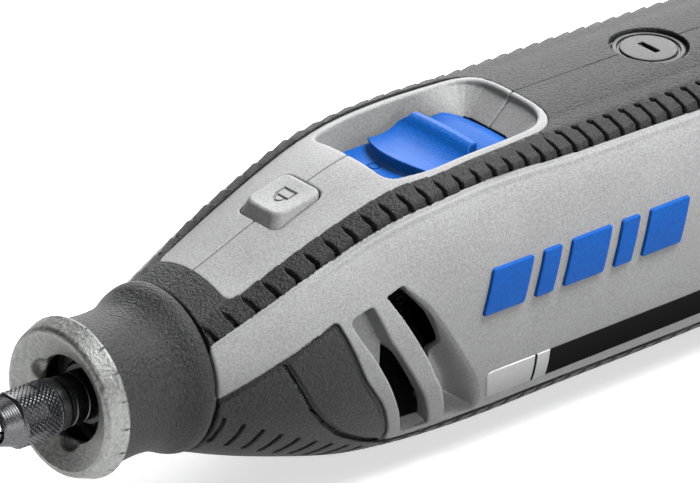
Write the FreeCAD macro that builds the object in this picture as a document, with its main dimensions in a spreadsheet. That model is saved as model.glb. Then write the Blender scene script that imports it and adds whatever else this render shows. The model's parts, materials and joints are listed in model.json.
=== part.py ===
import FreeCAD, Part
import math
import os

import Sketcher

# Rotary hobby tool: mains-powered, hand-held, with a collet on the nose.
# Frame, in millimetres: the spindle line is the X axis, with the collet mouth at the
# origin and the tail towards +X. The switch side is +Z. The clamshell splits on y = 0.

Vector = FreeCAD.Vector
doc = FreeCAD.newDocument("RotaryTool")
sheet = doc.addObject("Spreadsheet::Sheet", "Params")

DIMENSIONS = [
    ("collet_length", 16.0, "collet, mouth to tail"),
    ("collet_bore_r", 1.6, "bore radius of the 3.2 mm collet"),
    ("collet_head_r", 3.0, "widest part of the collet's cone"),
    ("collet_body_r", 2.4, "collet shank"),
    ("collet_mouth_r", 2.2, "outside of the collet at its mouth"),
    ("collet_cone_x", 3.0, "front of the collet's widest band"),
    ("collet_band_end", 5.0, "rear of the collet's widest band"),
    ("collet_neck_x", 6.2, "front of the collet shank"),
    ("collet_slit_half", 0.25, "half width of the collet's slits"),
    ("collet_slit_length", 10.0, "depth of the slits from the mouth"),
    ("nut_front", 0.5, "front face of the collet nut"),
    ("nut_rear", 14.4, "rear face of the collet nut"),
    ("nut_r", 5.05, "knurled outside of the nut"),
    ("nut_mouth_r", 2.5, "bore at the nut's front face"),
    ("nut_seat_r", 3.1, "seat in the nut that closes the collet"),
    ("nut_seat_x", 3.1, "front of the nut's seat"),
    ("nut_thread_x", 5.6, "front of the nut's thread"),
    ("nut_knurl_front", 4.4, "front of the nut's knurl"),
    ("nut_knurl_rear", 12.0, "rear of the nut's knurl"),
    ("nut_flat_half", 4.75, "half of the 9.5 mm wrench size across the nut's flats"),
    ("nut_flat_x", 4.0, "front of the nut's flats"),
    ("nut_flat_length", 5.4, "length of the nut's flats"),
    ("nut_thread_r", 3.55, "threaded bore of the nut"),
    ("spindle_front", 6.4, "front end of the spindle"),
    ("spindle_thread_r", 3.45, "threaded front of the spindle"),
    ("spindle_bore_r", 2.45, "bore that holds the collet"),
    ("spindle_bore_end", 18.0, "rear of the collet bore, before the drill's point"),
    ("shoulder_r", 4.5, "spindle shoulder behind the nut"),
    ("shoulder_front", 14.7, "front of the spindle shoulder"),
    ("shoulder_rear", 20.6, "rear of the spindle shoulder"),
    ("groove_one_x", 15.6, "first turned groove on the shoulder"),
    ("groove_two_x", 18.2, "second turned groove on the shoulder"),
    ("groove_half", 0.2, "half width of a turned groove"),
    ("groove_depth", 0.3, "depth of a turned groove"),
    ("spindle_r", 4.0, "spindle at its bearing"),
    ("lock_collar_r", 6.0, "collar that the lock pin engages"),
    ("lock_collar_front", 57.5, "front of the lock collar"),
    ("lock_collar_rear", 69.7, "rear of the lock collar"),
    ("lock_station", 63.6, "station of the shaft lock"),
    ("lock_hole_r", 2.15, "cross hole through the collar"),
    ("lock_pin_r", 1.9, "lock pin"),
    ("spindle_rear", 72.0, "rear end of the spindle"),
    ("shaft_r", 2.5, "armature shaft"),
    ("shaft_front", 76.0, "front end of the armature shaft"),
    ("shaft_rear", 172.0, "rear end of the armature shaft"),
    ("seal_front", 20.7, "front of the dust seal"),
    ("seal_rear", 23.2, "rear of the dust seal"),
    ("seal_r", 6.0, "outside of the dust seal"),
    ("coupling_front", 69.8, "front of the drive coupling"),
    ("coupling_rear", 82.0, "rear of the drive coupling"),
    ("coupling_r", 6.4, "outside of the drive coupling"),
    ("front_bearing_x", 43.0, "front face of the spindle bearing"),
    ("front_bearing_width", 6.0, "spindle bearing 8 x 19 x 6"),
    ("front_bearing_r", 9.5, "outside of the spindle bearing"),
    ("motor_bearing_r", 8.0, "outside of the armature bearings, 5 x 16 x 5"),
    ("motor_bearing_width", 5.0, "width of an armature bearing"),
    ("ball_r", 1.03, "bearing balls"),
    ("race_gap", 1.1, "from the ring of balls to each race"),
    ("front_ball_ring_r", 6.5, "ring of balls in the spindle bearing"),
    ("motor_ball_ring_r", 5.2, "ring of balls in the armature bearings"),
    ("mid_bearing_x", 84.0, "front face of the front armature bearing"),
    ("rear_bearing_x", 166.0, "front face of the rear armature bearing"),
    ("sleeve_r", 9.5, "rubber sleeve round the rear bearing"),
    ("fan_x", 90.5, "front face of the fan"),
    ("fan_width", 9.5, "fan, front to rear"),
    ("fan_r", 17.5, "fan tip radius"),
    ("fan_blade_half", 0.6, "half thickness of a fan blade"),
    ("fan_blade_root", 4.6, "where the fan's blades start"),
    ("core_x", 106.0, "front face of both lamination stacks"),
    ("core_length", 32.0, "length of both lamination stacks"),
    ("core_r", 10.9, "armature core"),
    ("core_slot_half", 0.9, "half width of the armature's slots"),
    ("core_slot_floor", 5.4, "bottom of the armature's slots"),
    ("winding_half", 0.8, "half width of the wire in a slot"),
    ("winding_floor", 5.6, "inner side of the wire in a slot"),
    ("winding_r", 10.2, "outside of the windings"),
    ("winding_tip_r", 7.5, "narrow end of the windings"),
    ("winding_core_r", 3.0, "hole through the end windings"),
    ("winding_overhang", 4.5, "end windings in front of the core"),
    ("winding_taper", 2.4, "start of the end windings' taper"),
    ("stack_flat_half", 17.5, "half width over the field stack's flats"),
    ("stack_r", 19.0, "outside of the field stack"),
    ("stack_bore_r", 11.6, "bore of the field stack"),
    ("commutator_x", 145.0, "front face of the commutator"),
    ("commutator_length", 13.0, "commutator track"),
    ("commutator_r", 6.5, "commutator track radius"),
    ("riser_width", 1.6, "width of the commutator's risers"),
    ("riser_height", 1.0, "height of the commutator's risers"),
    ("segment_gap_half", 0.2, "half width of the gaps between segments"),
    ("segment_gap_floor", 5.6, "bottom of the gaps between segments"),
    ("coil_overhang", 4.0, "field coil beyond the stack at each end"),
    ("coil_r", 15.7, "outside of a field coil's end turns"),
    ("coil_bore_r", 12.0, "inside of a field coil's end turns"),
    ("coil_bar_inner", 11.8, "inner side of a field coil's straight runs"),
    ("coil_bar_width", 3.9, "width of a field coil's straight runs"),
    ("coil_bar_height", 5.0, "height of a field coil's straight runs"),
    ("coil_gap_half", 0.5, "half of the gap between the two field coils"),
    ("brush_station", 151.6, "station of both brushes"),
    ("holder_half_length", 4.6, "half length of a brush holder"),
    ("holder_half_width", 3.7, "half width of a brush holder"),
    ("holder_low", 7.6, "inner end of a brush holder"),
    ("holder_high", 21.8, "outer end of a brush holder"),
    ("holder_slot_half_length", 3.3, "half length of the brush's slot"),
    ("holder_slot_half_width", 2.45, "half width of the brush's slot"),
    ("brush_half_length", 3.15, "half length of a carbon brush"),
    ("brush_half_width", 2.3, "half width of a carbon brush"),
    ("brush_low", 6.62, "face of a brush on the commutator"),
    ("brush_high", 17.6, "outer end of a brush"),
    ("brush_cap_r", 6.8, "head of a brush cap"),
    ("brush_cap_top", 27.7, "outer face of the upper brush cap"),
    ("brush_cap_low", 25.3, "outer face of the lower brush cap"),
    ("brush_cap_thickness", 2.0, "head of a brush cap"),
    ("brush_cap_stem_r", 4.6, "stem of a brush cap"),
    ("brush_cap_stem_low", 22.0, "inner end of a brush cap's stem"),
    ("carrier_bore_r", 5.0, "hole in the nose carrier for the spindle"),
    ("circlip_front", 49.3, "front of the bearing's circlip"),
    ("circlip_rear", 50.1, "rear of the bearing's circlip"),
    ("circlip_groove_slack", 0.1, "groove beyond the circlip on each side"),
    ("circlip_bore_r", 8.0, "inside of the circlip"),
    ("circlip_hold", 0.5, "how far the circlip reaches into its groove"),
    ("carrier_front", 23.6, "front of the threaded nose"),
    ("carrier_thread_r", 9.45, "outside of the 3/4-12 nose thread"),
    ("carrier_flange_x", 40.6, "front of the nose carrier's flange"),
    ("carrier_flange_r", 12.2, "nose carrier flange"),
    ("carrier_rear", 51.0, "rear of the nose carrier"),
    ("ring_front", 14.8, "front face of the wrench ring"),
    ("ring_front_r", 13.2, "front edge of the wrench ring"),
    ("ring_rear", 19.0, "rear face of the wrench ring"),
    ("ring_rear_r", 14.75, "rear edge of the wrench ring"),
    ("ring_hole_r", 7.8, "hole in the wrench ring"),
    ("cap_rear", 37.2, "rear edge of the nose cap"),
    ("cap_waist_r", 12.9, "waist of the nose cap"),
    ("cap_lip_r", 15.2, "flared rear lip of the nose cap"),
    ("cap_bore_r", 11.2, "bore of the nose cap"),
    ("insert_front", 24.5, "front of the nose cap's insert"),
    ("insert_rear", 36.4, "rear of the nose cap's insert"),
    ("insert_bore_r", 9.6, "thread of the nose cap's insert"),
    ("housing_front", 38.0, "front face of the housing"),
    ("housing_rear", 214.0, "joint between housing and rear cap"),
    ("wall", 3.0, "housing wall, with its grip skin"),
    ("grip_depth", 1.4, "thickness of the soft grip skin"),
    ("tail_end", 223.0, "flat end of the rear cap"),
    ("gland_bore_r", 3.3, "cable hole in the gland"),
    ("gland_end", 226.5, "outer end of the gland"),
    ("gland_front", 215.5, "inner end of the gland"),
    ("gland_r", 6.0, "neck of the gland"),
    ("gland_flange_r", 7.2, "flange of the gland"),
    ("pocket_front", 80.0, "front wall of the switch pocket"),
    ("pocket_rear", 117.6, "rear wall of the switch pocket"),
    ("pocket_half", 11.8, "half width of the switch pocket"),
    ("pocket_floor", 20.3, "floor of the switch pocket"),
    ("slider_travel", 6.0, "travel of the power switch"),
    ("slider_half", 8.9, "half width of the slider's base plate"),
    ("slider_plate_top", 21.9, "top of the slider's base plate"),
    ("slider_pad_x", 90.2, "front of the thumb pad"),
    ("slider_pad_low", 23.4, "lowest part of the thumb pad"),
    ("slider_ridge_x", 102.8, "rear of the thumb ridge"),
    ("slider_top", 26.6, "top of the thumb ridge"),
    ("link_front", 104.0, "front of the switch link"),
    ("link_rear", 178.0, "rear of the switch link"),
    ("link_width", 2.5, "width of the switch link"),
    ("link_half_height", 0.7, "half height of the switch link"),
    ("switch_case_x", 171.0, "front of the switch module"),
    ("button_front", 58.6, "front of the shaft lock button"),
    ("button_rear", 69.5, "rear of the shaft lock button"),
    ("button_half", 4.9, "half width of the lock button"),
    ("button_top", 25.7, "rear edge of the lock button's top"),
    ("lock_flange_low", 13.4, "underside of the lock button's flange"),
    ("lock_flange_height", 1.6, "thickness of the lock button's flange"),
    ("lock_flange_half", 6.4, "half width of the lock button's flange"),
    ("lock_travel", 3.0, "travel of the lock button"),
    ("dial_station", 196.0, "speed dial axis"),
    ("dial_height", 19.4, "height of the speed dial's axis"),
    ("dial_r", 9.0, "speed dial"),
    ("dial_half", 2.6, "half thickness of the speed dial"),
    ("screw_r", 1.5, "housing screw shank"),
    ("screw_head_r", 2.9, "housing screw head"),
    ("bail_wire_r", 1.0, "wire of the hanger bail"),
    ("bail_x", 225.3, "plane of the hanger bail"),
    ("bail_pivot_z", 12.5, "height of the bail's pivot"),
    ("bail_half", 9.0, "half width of the bail"),
]

# Housing sections: station, top, bottom, half width, upper and lower roundness exponents.
# An exponent of 2 is an ellipse, and a larger one is squarer.
STATIONS = [
    ("a", 38.0, 14.3, 15.6, 15.0, 2.0, 2.0),
    ("b", 46.0, 16.9, 18.6, 18.2, 2.05, 2.05),
    ("c", 57.0, 21.1, 22.0, 21.9, 2.1, 2.1),
    ("d", 68.0, 25.0, 24.5, 23.8, 2.25, 2.3),
    ("e", 79.0, 27.8, 25.5, 24.4, 2.55, 2.5),
    ("f", 90.0, 28.6, 26.0, 24.6, 2.85, 2.6),
    ("g", 120.0, 28.6, 26.0, 24.6, 2.85, 2.65),
    ("i", 150.0, 28.4, 26.0, 24.4, 2.85, 2.65),
    ("j", 180.0, 27.6, 25.4, 23.8, 2.8, 2.6),
    ("k", 203.0, 26.2, 24.2, 22.7, 2.7, 2.6),
    ("l", 214.0, 24.8, 22.9, 21.4, 2.6, 2.6),
]
TAIL_STATIONS = [
    ("l", 214.0, 24.8, 22.9, 21.4, 2.6, 2.6),
    ("n", 219.5, 21.5, 20.0, 18.6, 2.5, 2.5),
    ("o", 223.0, 15.5, 15.0, 14.5, 2.3, 2.3),
]
SECTION_FIELDS = ("station", "top", "bottom", "half", "upper", "lower")

SCREWS = [("one", 55.5, -15.5), ("two", 76.5, 16.0), ("three", 161.5, 14.5), ("four", 161.5, -18.2),
          ("five", 206.0, -14.0)]


def fill_sheet():
    """Write every driving dimension to the sheet, with its alias and a note."""
    rows = list(DIMENSIONS)
    for name, *values in STATIONS + TAIL_STATIONS[1:]:
        for field, value in zip(SECTION_FIELDS, values):
            rows.append(("section_%s_%s" % (name, field), value, "housing section " + name))
    for name, station, height in SCREWS:
        rows.append(("screw_%s_x" % name, station, "housing screw " + name))
        rows.append(("screw_%s_z" % name, height, "housing screw " + name))
    for row, (alias, value, note) in enumerate(rows, 1):
        sheet.set("A%d" % row, alias)
        sheet.set("B%d" % row, str(value))
        sheet.set("C%d" % row, note)
        sheet.setAlias("B%d" % row, alias)
    doc.recompute()


def terms(text):
    """Split a sum such as 'nut_rear - 2.5' into (sign, word) pairs."""
    sign = 1
    for word in text.split():
        if word in "+-":
            sign = 1 if word == "+" else -1
        else:
            yield sign, word
            sign = 1


def twice(text):
    return "%s + %s" % (text, text)


def is_number(word):
    return word[0].isdigit() or word[0] == "."


def number(text):
    """The value of a sum of sheet aliases and plain numbers."""
    return sum(sign * (float(word) if is_number(word) else float(sheet.get(word)))
               for sign, word in terms(text))


def formula(text):
    """The same sum as an expression that reads the sheet."""
    words = ["%s %s%s" % ("+" if sign > 0 else "-", "" if is_number(word) else "Params.", word)
             for sign, word in terms(text)]
    return "0 " + " ".join(words)


def bind(obj, **sizes):
    for name, text in sizes.items():
        obj.setExpression(name, formula(text))
    return obj


AXIS_TURNS = {
    "X": FreeCAD.Rotation(Vector(0, 1, 0), 90),
    "Y": FreeCAD.Rotation(Vector(1, 0, 0), -90),
    "Z": FreeCAD.Rotation(),
}


def place(obj, at, axis="Z"):
    """Put a primitive's own origin at the three sums in `at`, with its +Z along `axis`."""
    obj.Placement = FreeCAD.Placement(Vector(*[number(text) for text in at]), AXIS_TURNS[axis])
    for name, text in zip("xyz", at):
        obj.setExpression("Placement.Base." + name, formula(text))
    return obj


def cylinder(label, radius, height, at, axis="X", angle=None):
    obj = doc.addObject("Part::Cylinder", label)
    bind(obj, Radius=radius, Height=height)
    if angle:
        obj.Angle = angle
    return place(obj, at, axis)


def box(label, low, size):
    obj = doc.addObject("Part::Box", label)
    bind(obj, Length=size[0], Width=size[1], Height=size[2])
    return place(obj, low)


def cut(label, base, *tools):
    obj = doc.addObject("Part::Cut", label)
    obj.Base = base
    obj.Tool = tools[0] if len(tools) == 1 else fuse(label + "_tools", *tools)
    return obj


def fuse(label, *shapes):
    obj = doc.addObject("Part::MultiFuse", label)
    obj.Shapes = list(shapes)
    return obj


def group(label, *shapes):
    obj = doc.addObject("Part::Compound", label)
    obj.Links = list(shapes)
    return obj


def origin_plane(body, role):
    return next(item for item in body.Origin.OriginFeatures if item.Role == role)


def outline_sketch(body, name, plane, corners):
    """A closed sketch whose corners are bound to the sheet; corners are pairs of sums."""
    sketch = body.newObject("Sketcher::SketchObject", name)
    sketch.AttachmentSupport = [(origin_plane(body, plane), "")]
    sketch.MapMode = "FlatFace"
    points = [Vector(number(across), number(up), 0) for across, up in corners]
    count = len(points)
    for index in range(count):
        line = Part.LineSegment(points[index], points[(index + 1) % count])
        sketch.addGeometry(line, False)
    for index in range(count):
        sketch.addConstraint(Sketcher.Constraint("Coincident", index, 2, (index + 1) % count, 1))
    for index, (across, up) in enumerate(corners):
        for kind, text, rail in (("DistanceX", across, -2), ("DistanceY", up, -1)):
            if text == "0":
                sketch.addConstraint(Sketcher.Constraint("PointOnObject", index, 1, rail))
                continue
            value = number(text)
            held = sketch.addConstraint(Sketcher.Constraint(kind, -1, 1, index, 1, value))
            sketch.setExpression("Constraints[%d]" % held, formula(text))
    return sketch


def turned(label, profile):
    """A turned piece: its half profile (station, radius) revolved about the spindle line."""
    body = doc.addObject("PartDesign::Body", label)
    sketch = outline_sketch(body, label + "_profile", "XZ_Plane", profile)
    turn = body.newObject("PartDesign::Revolution", label + "_turn")
    turn.Profile = sketch
    turn.ReferenceAxis = (sketch, ["H_Axis"])
    turn.Angle = 360
    sketch.Visibility = False
    body.Tip = turn
    return body


def milled(label, plane, corners, length, centred=True):
    """A flat piece: an outline on an origin plane, padded across it."""
    body = doc.addObject("PartDesign::Body", label)
    sketch = outline_sketch(body, label + "_outline", plane, corners)
    pad = body.newObject("PartDesign::Pad", label + "_pad")
    pad.Profile = sketch
    pad.SideType = "Symmetric" if centred else "One side"
    bind(pad, Length=length)
    body.Tip = pad
    return body


def ring(label, inner, outer, start, end):
    """A plain turned ring from two radii and two stations."""
    return turned(label, [(start, inner), (end, inner), (end, outer), (start, outer)])


def around(label, source, count, first=0.0):
    """Copies of one object spaced evenly about the spindle line."""
    copies = []
    for index in range(count):
        copy = group("%s_%d" % (label, index), source)
        turn = FreeCAD.Rotation(Vector(1, 0, 0), first + 360.0 * index / count)
        copy.Placement = FreeCAD.Placement(Vector(), turn)
        copies.append(copy)
    return copies


def shaped(label, shape, base=Vector(), turn=FreeCAD.Rotation()):
    """A piece whose shape comes from Part's own functions, read from the sheet."""
    obj = doc.addObject("Part::Feature", label)
    obj.Shape = shape
    obj.Placement = FreeCAD.Placement(base, turn)
    return obj


# ---------------------------------------------------------------- collet and spindle

def make_collet():
    cone = turned("collet_blank", [
        ("0", "collet_bore_r"), ("collet_length", "collet_bore_r"), ("collet_length", "collet_body_r"),
        ("collet_neck_x", "collet_body_r"), ("collet_band_end", "collet_head_r"),
        ("collet_cone_x", "collet_head_r"), ("0", "collet_mouth_r"),
    ])
    reach = "collet_head_r + 1"
    slit = box("collet_slit_tool", ("0", "0 - collet_head_r - 1", "0 - collet_slit_half"),
               ("collet_slit_length", twice(reach), twice("collet_slit_half")))
    slits = [slit] + around("collet_slit_turned", slit, 1, first=90.0)
    return cut("collet", cone, *slits)


def make_collet_nut():
    collar_r = "nut_r - 0.35"
    blank = turned("collet_nut_blank", [
        ("nut_front", "nut_mouth_r"), ("nut_seat_x", "nut_seat_r"), ("nut_thread_x", "nut_seat_r"),
        ("nut_thread_x", "nut_thread_r"), ("nut_rear", "nut_thread_r"), ("nut_rear", collar_r),
        ("nut_knurl_rear + 0.2", collar_r), ("nut_knurl_rear", "nut_r"), ("nut_knurl_front", "nut_r"),
        ("nut_knurl_front - 0.4", "4.5"), ("nut_front + 0.4", "3.5"), ("nut_front", "3.2"),
    ])
    flat = box("nut_flat_tool", ("nut_flat_x", "0 - 3", "nut_flat_half"), ("nut_flat_length", "6", "2"))
    flats = around("nut_flat", flat, 6)
    return cut("collet_nut", blank, *flats)


def make_spindle():
    profile = [
        ("spindle_front", "spindle_bore_r"), ("spindle_bore_end", "spindle_bore_r"),
        ("spindle_bore_end + 1", "0"), ("spindle_rear", "0"), ("spindle_rear", "spindle_r"),
        ("lock_collar_rear", "spindle_r"), ("lock_collar_rear", "lock_collar_r"),
        ("lock_collar_front", "lock_collar_r"), ("lock_collar_front", "spindle_r"),
        ("shoulder_rear", "spindle_r"), ("shoulder_rear", "shoulder_r"),
    ]
    for groove in ("groove_two_x", "groove_one_x"):
        profile += [(groove + " + groove_half", "shoulder_r"), (groove, "shoulder_r - groove_depth"),
                    (groove + " - groove_half", "shoulder_r")]
    profile += [("shoulder_front", "shoulder_r"), ("shoulder_front", "spindle_thread_r"),
                ("spindle_front", "spindle_thread_r")]
    bar = turned("spindle_blank", profile)
    hole = cylinder("lock_hole_tool", "lock_hole_r", "20", ("lock_station", "0", "0 - 10"), "Z")
    return cut("spindle", bar, hole)


def bearing(name, start, width, inner, outer, ball_ring, count):
    """A ball bearing: inner race, outer race, and the balls as one group."""
    end = "%s + %s" % (start, width)
    ring(name + "_inner_race", inner, ball_ring + " - race_gap", start, end)
    ring(name + "_outer_race", ball_ring + " + race_gap", outer, start, end)
    ball = doc.addObject("Part::Sphere", name + "_ball_master")
    bind(ball, Radius="ball_r")
    middle = "%s + %s" % (start, number(width) / 2)
    place(ball, (middle, "0", ball_ring))
    group(name + "_balls", *around(name + "_ball", ball, count))


def make_bearings():
    bearing("front_bearing", "front_bearing_x", "front_bearing_width", "spindle_r", "front_bearing_r",
            "front_ball_ring_r", 9)
    for name in ("mid_bearing", "rear_bearing"):
        bearing(name, name + "_x", "motor_bearing_width", "shaft_r", "motor_bearing_r",
                "motor_ball_ring_r", 7)
    ring("rear_bearing_sleeve", "motor_bearing_r", "sleeve_r", "rear_bearing_x",
         "rear_bearing_x + motor_bearing_width")


def make_dust_seal():
    return turned("dust_seal", [("seal_front", "spindle_r"), ("seal_rear", "spindle_r"),
                                ("seal_rear", "seal_r"), ("seal_front + 0.9", "seal_r"),
                                ("seal_front", "seal_r - 0.7")])


def make_drive_coupling():
    return turned("drive_coupling", [
        ("coupling_front", "spindle_r"), ("spindle_rear", "spindle_r"), ("spindle_rear", "0"),
        ("shaft_front", "0"), ("shaft_front", "shaft_r"), ("coupling_rear", "shaft_r"),
        ("coupling_rear", "coupling_r - 1.4"), ("coupling_rear - 1.5", "coupling_r"),
        ("coupling_front", "coupling_r"),
    ])


# ---------------------------------------------------------------- motor

def make_armature():
    turned("armature_shaft", [("shaft_front", "0"), ("shaft_rear", "0"), ("shaft_rear", "shaft_r - 0.3"),
                              ("shaft_rear - 0.3", "shaft_r"), ("shaft_front", "shaft_r")])
    core_end = "core_x + core_length"
    blank = ring("armature_core_blank", "shaft_r", "core_r", "core_x", core_end)
    slot = box("core_slot_tool", ("core_x - 1", "0 - core_slot_half", "core_slot_floor"),
               ("core_length + 2", twice("core_slot_half"), "core_r - core_slot_floor + 2.5"))
    cut("armature_core", blank, *around("core_slot", slot, 12))

    bar = box("winding_bar", ("core_x - 0.5", "0 - winding_half", "winding_floor"),
              ("core_length + 1", twice("winding_half"), "winding_r - winding_floor"))
    bars = around("winding_bars", bar, 12)
    tip = "core_x - winding_overhang"
    front = turned("winding_front", [
        (tip, "winding_core_r"), ("core_x", "winding_core_r"), ("core_x", "winding_r"),
        (tip + " + 2.5", "winding_r"), (tip, "winding_tip_r"),
    ])
    tip = core_end + " + 5"
    rear = turned("winding_rear", [
        (core_end, "winding_core_r"), (tip, "winding_core_r"), (tip, "winding_tip_r"),
        (core_end + " + winding_taper", "winding_r"), (core_end, "winding_r"),
    ])
    fuse("armature_windings", front, rear, *bars)

    end = "commutator_x + commutator_length"
    riser_front, riser_r = "commutator_x - riser_width", "commutator_r + riser_height"
    track = turned("commutator_blank", [
        (riser_front, "shaft_r"), (end, "shaft_r"), (end, "commutator_r"),
        ("commutator_x", "commutator_r"), ("commutator_x", riser_r), (riser_front, riser_r),
    ])
    gap = box("commutator_gap", ("commutator_x - 3", "0 - segment_gap_half", "segment_gap_floor"),
              ("commutator_length + 5", twice("segment_gap_half"), "4"))
    cut("commutator", track, *around("commutator_gaps", gap, 24))


def make_fan():
    rear = "fan_x + fan_width"
    plate = turned("fan_plate", [("fan_x", "shaft_r"), (rear, "shaft_r"), (rear, "fan_r"),
                                 (rear + " - 1.2", "fan_r"), (rear + " - 2.2", "6"), ("fan_x", "5")])
    blade = box("fan_blade", ("fan_x", "0 - fan_blade_half", "fan_blade_root"),
                ("fan_width - 1", twice("fan_blade_half"), "fan_r - fan_blade_root - 0.3"))
    fuse("fan", plate, *around("fan_blades", blade, 11))


def make_field():
    outer = cylinder("stack_outer", "stack_r", "core_length", ("core_x", "0", "0"))
    inner = cylinder("stack_inner", "stack_bore_r", "core_length + 2", ("core_x - 1", "0", "0"))
    window = box("stack_window", ("core_x - 1", "0 - 16", "0 - 6"), ("core_length + 2", "32", "12"))
    flats = [box("stack_flat_left", ("core_x - 1", "0 - stack_flat_half - 7.5", "0 - 20"),
                 ("core_length + 2", "7.5", "40")),
             box("stack_flat_right", ("core_x - 1", "stack_flat_half", "0 - 20"),
                 ("core_length + 2", "7.5", "40"))]
    cut("field_stack", outer, inner, window, *flats)

    stations = (("front", "core_x - coil_overhang"), ("rear", "core_x + core_length"))
    for name, side in (("upper", 1), ("lower", -1)):
        bars = []
        low = "coil_gap_half" if side > 0 else "0 - coil_gap_half - coil_bar_height"
        for hand, start in (("left", "0 - coil_bar_inner - coil_bar_width"), ("right", "coil_bar_inner")):
            bars.append(box("coil_%s_%s" % (name, hand), ("core_x - coil_overhang", start, low),
                            ("core_length + " + twice("coil_overhang"), "coil_bar_width", "coil_bar_height")))
        ends = []
        for tag, station in stations:
            band = cylinder("coil_band_%s_%s" % (name, tag), "coil_r", "coil_overhang", (station, "0", "0"))
            hole = cylinder("coil_hole_%s_%s" % (name, tag), "coil_bore_r", "coil_overhang + 2",
                            (station + " - 1", "0", "0"))
            base = "coil_gap_half - 21" if side > 0 else "0 - coil_gap_half"
            half = box("coil_half_%s_%s" % (name, tag), (station + " - 1", "0 - 20", base),
                       ("coil_overhang + 2", "40", "21"))
            ends.append(cut("coil_end_%s_%s" % (name, tag), band, hole, half))
        fuse("field_coil_" + name, *(bars + ends))


def make_brush_gear(name, side):
    """One brush with its holder, spring and screw cap. `side` is 1 above the motor and -1 below."""

    def block(label, half_length, half_width, low, high):
        base = low if side > 0 else "0 - " + high
        return box(label + name, ("brush_station - " + half_length, "0 - " + half_width, base),
                   (twice(half_length), twice(half_width), "%s - %s" % (high, low)))

    outer = block("holder_outer_", "holder_half_length", "holder_half_width", "holder_low", "holder_high")
    slot = block("holder_slot_", "holder_slot_half_length", "holder_slot_half_width", "7", "24")
    cut("brush_holder_" + name, outer, slot)
    block("carbon_brush_", "brush_half_length", "brush_half_width", "brush_low", "brush_high")
    coil_r, wire_r, pitch = 1.7, 0.3, 1.15
    low, high = 17.7, 21.9
    path = Part.makeHelix(pitch, high - low - 2 * wire_r, coil_r)
    wire = Part.Wire(Part.makeCircle(wire_r, Vector(coil_r, 0, 0), Vector(0, 1, 0)))
    spring = Part.Wire(path.Edges).makePipeShell([wire], True, True)
    over = FreeCAD.Rotation(Vector(1, 0, 0), 0 if side > 0 else 180)
    station = number("brush_station")
    shaped("brush_spring_" + name, spring, Vector(station, 0, side * (low + wire_r)), over)
    top = number("brush_cap_top") if side > 0 else number("brush_cap_low")
    thickness = number("brush_cap_thickness")
    head = Part.makeCylinder(number("brush_cap_r"), thickness, Vector(0, 0, top - thickness))
    stem_low = number("brush_cap_stem_low")
    stem = Part.makeCylinder(number("brush_cap_stem_r"), top - thickness - stem_low, Vector(0, 0, stem_low))
    slit_length, slit_width, slit_depth = 7.0, 1.1, 0.9
    slit = Part.makeBox(slit_length, slit_width, slit_depth + 0.1,
                        Vector(-slit_length / 2, -slit_width / 2, top - slit_depth))
    cap = head.fuse(stem).cut(slit)
    shaped("brush_cap_" + name, cap, Vector(station, 0, 0), over)


# ---------------------------------------------------------------- nose

def make_nose():
    groove_front = "circlip_front - circlip_groove_slack"
    groove_rear = "circlip_rear + circlip_groove_slack"
    groove_r = "front_bearing_r + circlip_hold + circlip_groove_slack"
    turned("nose_carrier", [
        ("carrier_front", "carrier_bore_r"), ("front_bearing_x", "carrier_bore_r"),
        ("front_bearing_x", "front_bearing_r"), (groove_front, "front_bearing_r"),
        (groove_front, groove_r), (groove_rear, groove_r), (groove_rear, "front_bearing_r"),
        ("carrier_rear", "front_bearing_r"),
        ("carrier_rear", "carrier_flange_r"), ("carrier_flange_x", "carrier_flange_r"),
        ("carrier_flange_x", "carrier_thread_r"), ("carrier_front + 0.8", "carrier_thread_r"),
        ("carrier_front", "carrier_thread_r - 0.8"),
    ])
    clip = ring("bearing_circlip_blank", "circlip_bore_r", "front_bearing_r + circlip_hold",
                "circlip_front", "circlip_rear")
    gap = box("circlip_gap", ("circlip_front - 1.3", "0 - 2", "circlip_bore_r - 2"), ("4", "4", "6"))
    cut("bearing_circlip", clip, gap)
    turned("wrench_ring", [
        ("ring_front", "ring_hole_r"), ("ring_rear", "ring_hole_r"), ("ring_rear", "ring_rear_r"),
        ("ring_rear - 0.5", "ring_rear_r"), ("ring_front", "ring_front_r"),
    ])
    turned("nose_cap_insert", [
        ("insert_front", "insert_bore_r"), ("insert_rear", "insert_bore_r"),
        ("insert_rear", "cap_bore_r"), ("insert_front", "cap_bore_r"),
    ])
    turned("nose_cap", [
        ("ring_rear", "cap_bore_r"), ("cap_rear", "cap_bore_r"), ("cap_rear", "cap_lip_r - 0.4"),
        ("cap_rear - 0.6", "cap_lip_r"), ("cap_rear - 2", "cap_lip_r"), ("cap_rear - 2.8", "cap_lip_r - 0.6"),
        ("cap_rear - 4.2", "cap_waist_r + 1.2"), ("cap_rear - 5.7", "cap_waist_r + 0.6"),
        ("cap_rear - 7.4", "cap_waist_r + 0.25"), ("cap_rear - 9.7", "cap_waist_r"),
        ("ring_rear", "cap_waist_r"),
    ])


# ---------------------------------------------------------------- housing surface

def section_wire(name, inset, shift=0.0):
    """A closed curve round the housing at one station, `inset` inside its surface."""
    station, top, bottom, half, upper, lower = [
        float(sheet.get("section_%s_%s" % (name, field))) for field in SECTION_FIELDS]
    count = 28
    points = []
    for index in range(count):
        angle = 2 * math.pi * index / count
        across, up = math.cos(angle), math.sin(angle)
        power = 2 / (upper if up >= 0 else lower)
        height = top if up >= 0 else bottom
        y = math.copysign(abs(across) ** power, across) * (half - inset)
        z = math.copysign(abs(up) ** power, up) * (height - inset)
        points.append(Vector(station + shift, y, z))
    curve = Part.BSplineCurve()
    curve.interpolate(points, PeriodicFlag=True)
    return Part.Wire(curve.toShape())


def lofted(stations, inset):
    wires = [section_wire(row[0], inset) for row in stations]
    return Part.makeLoft(wires, True, False)


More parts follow.
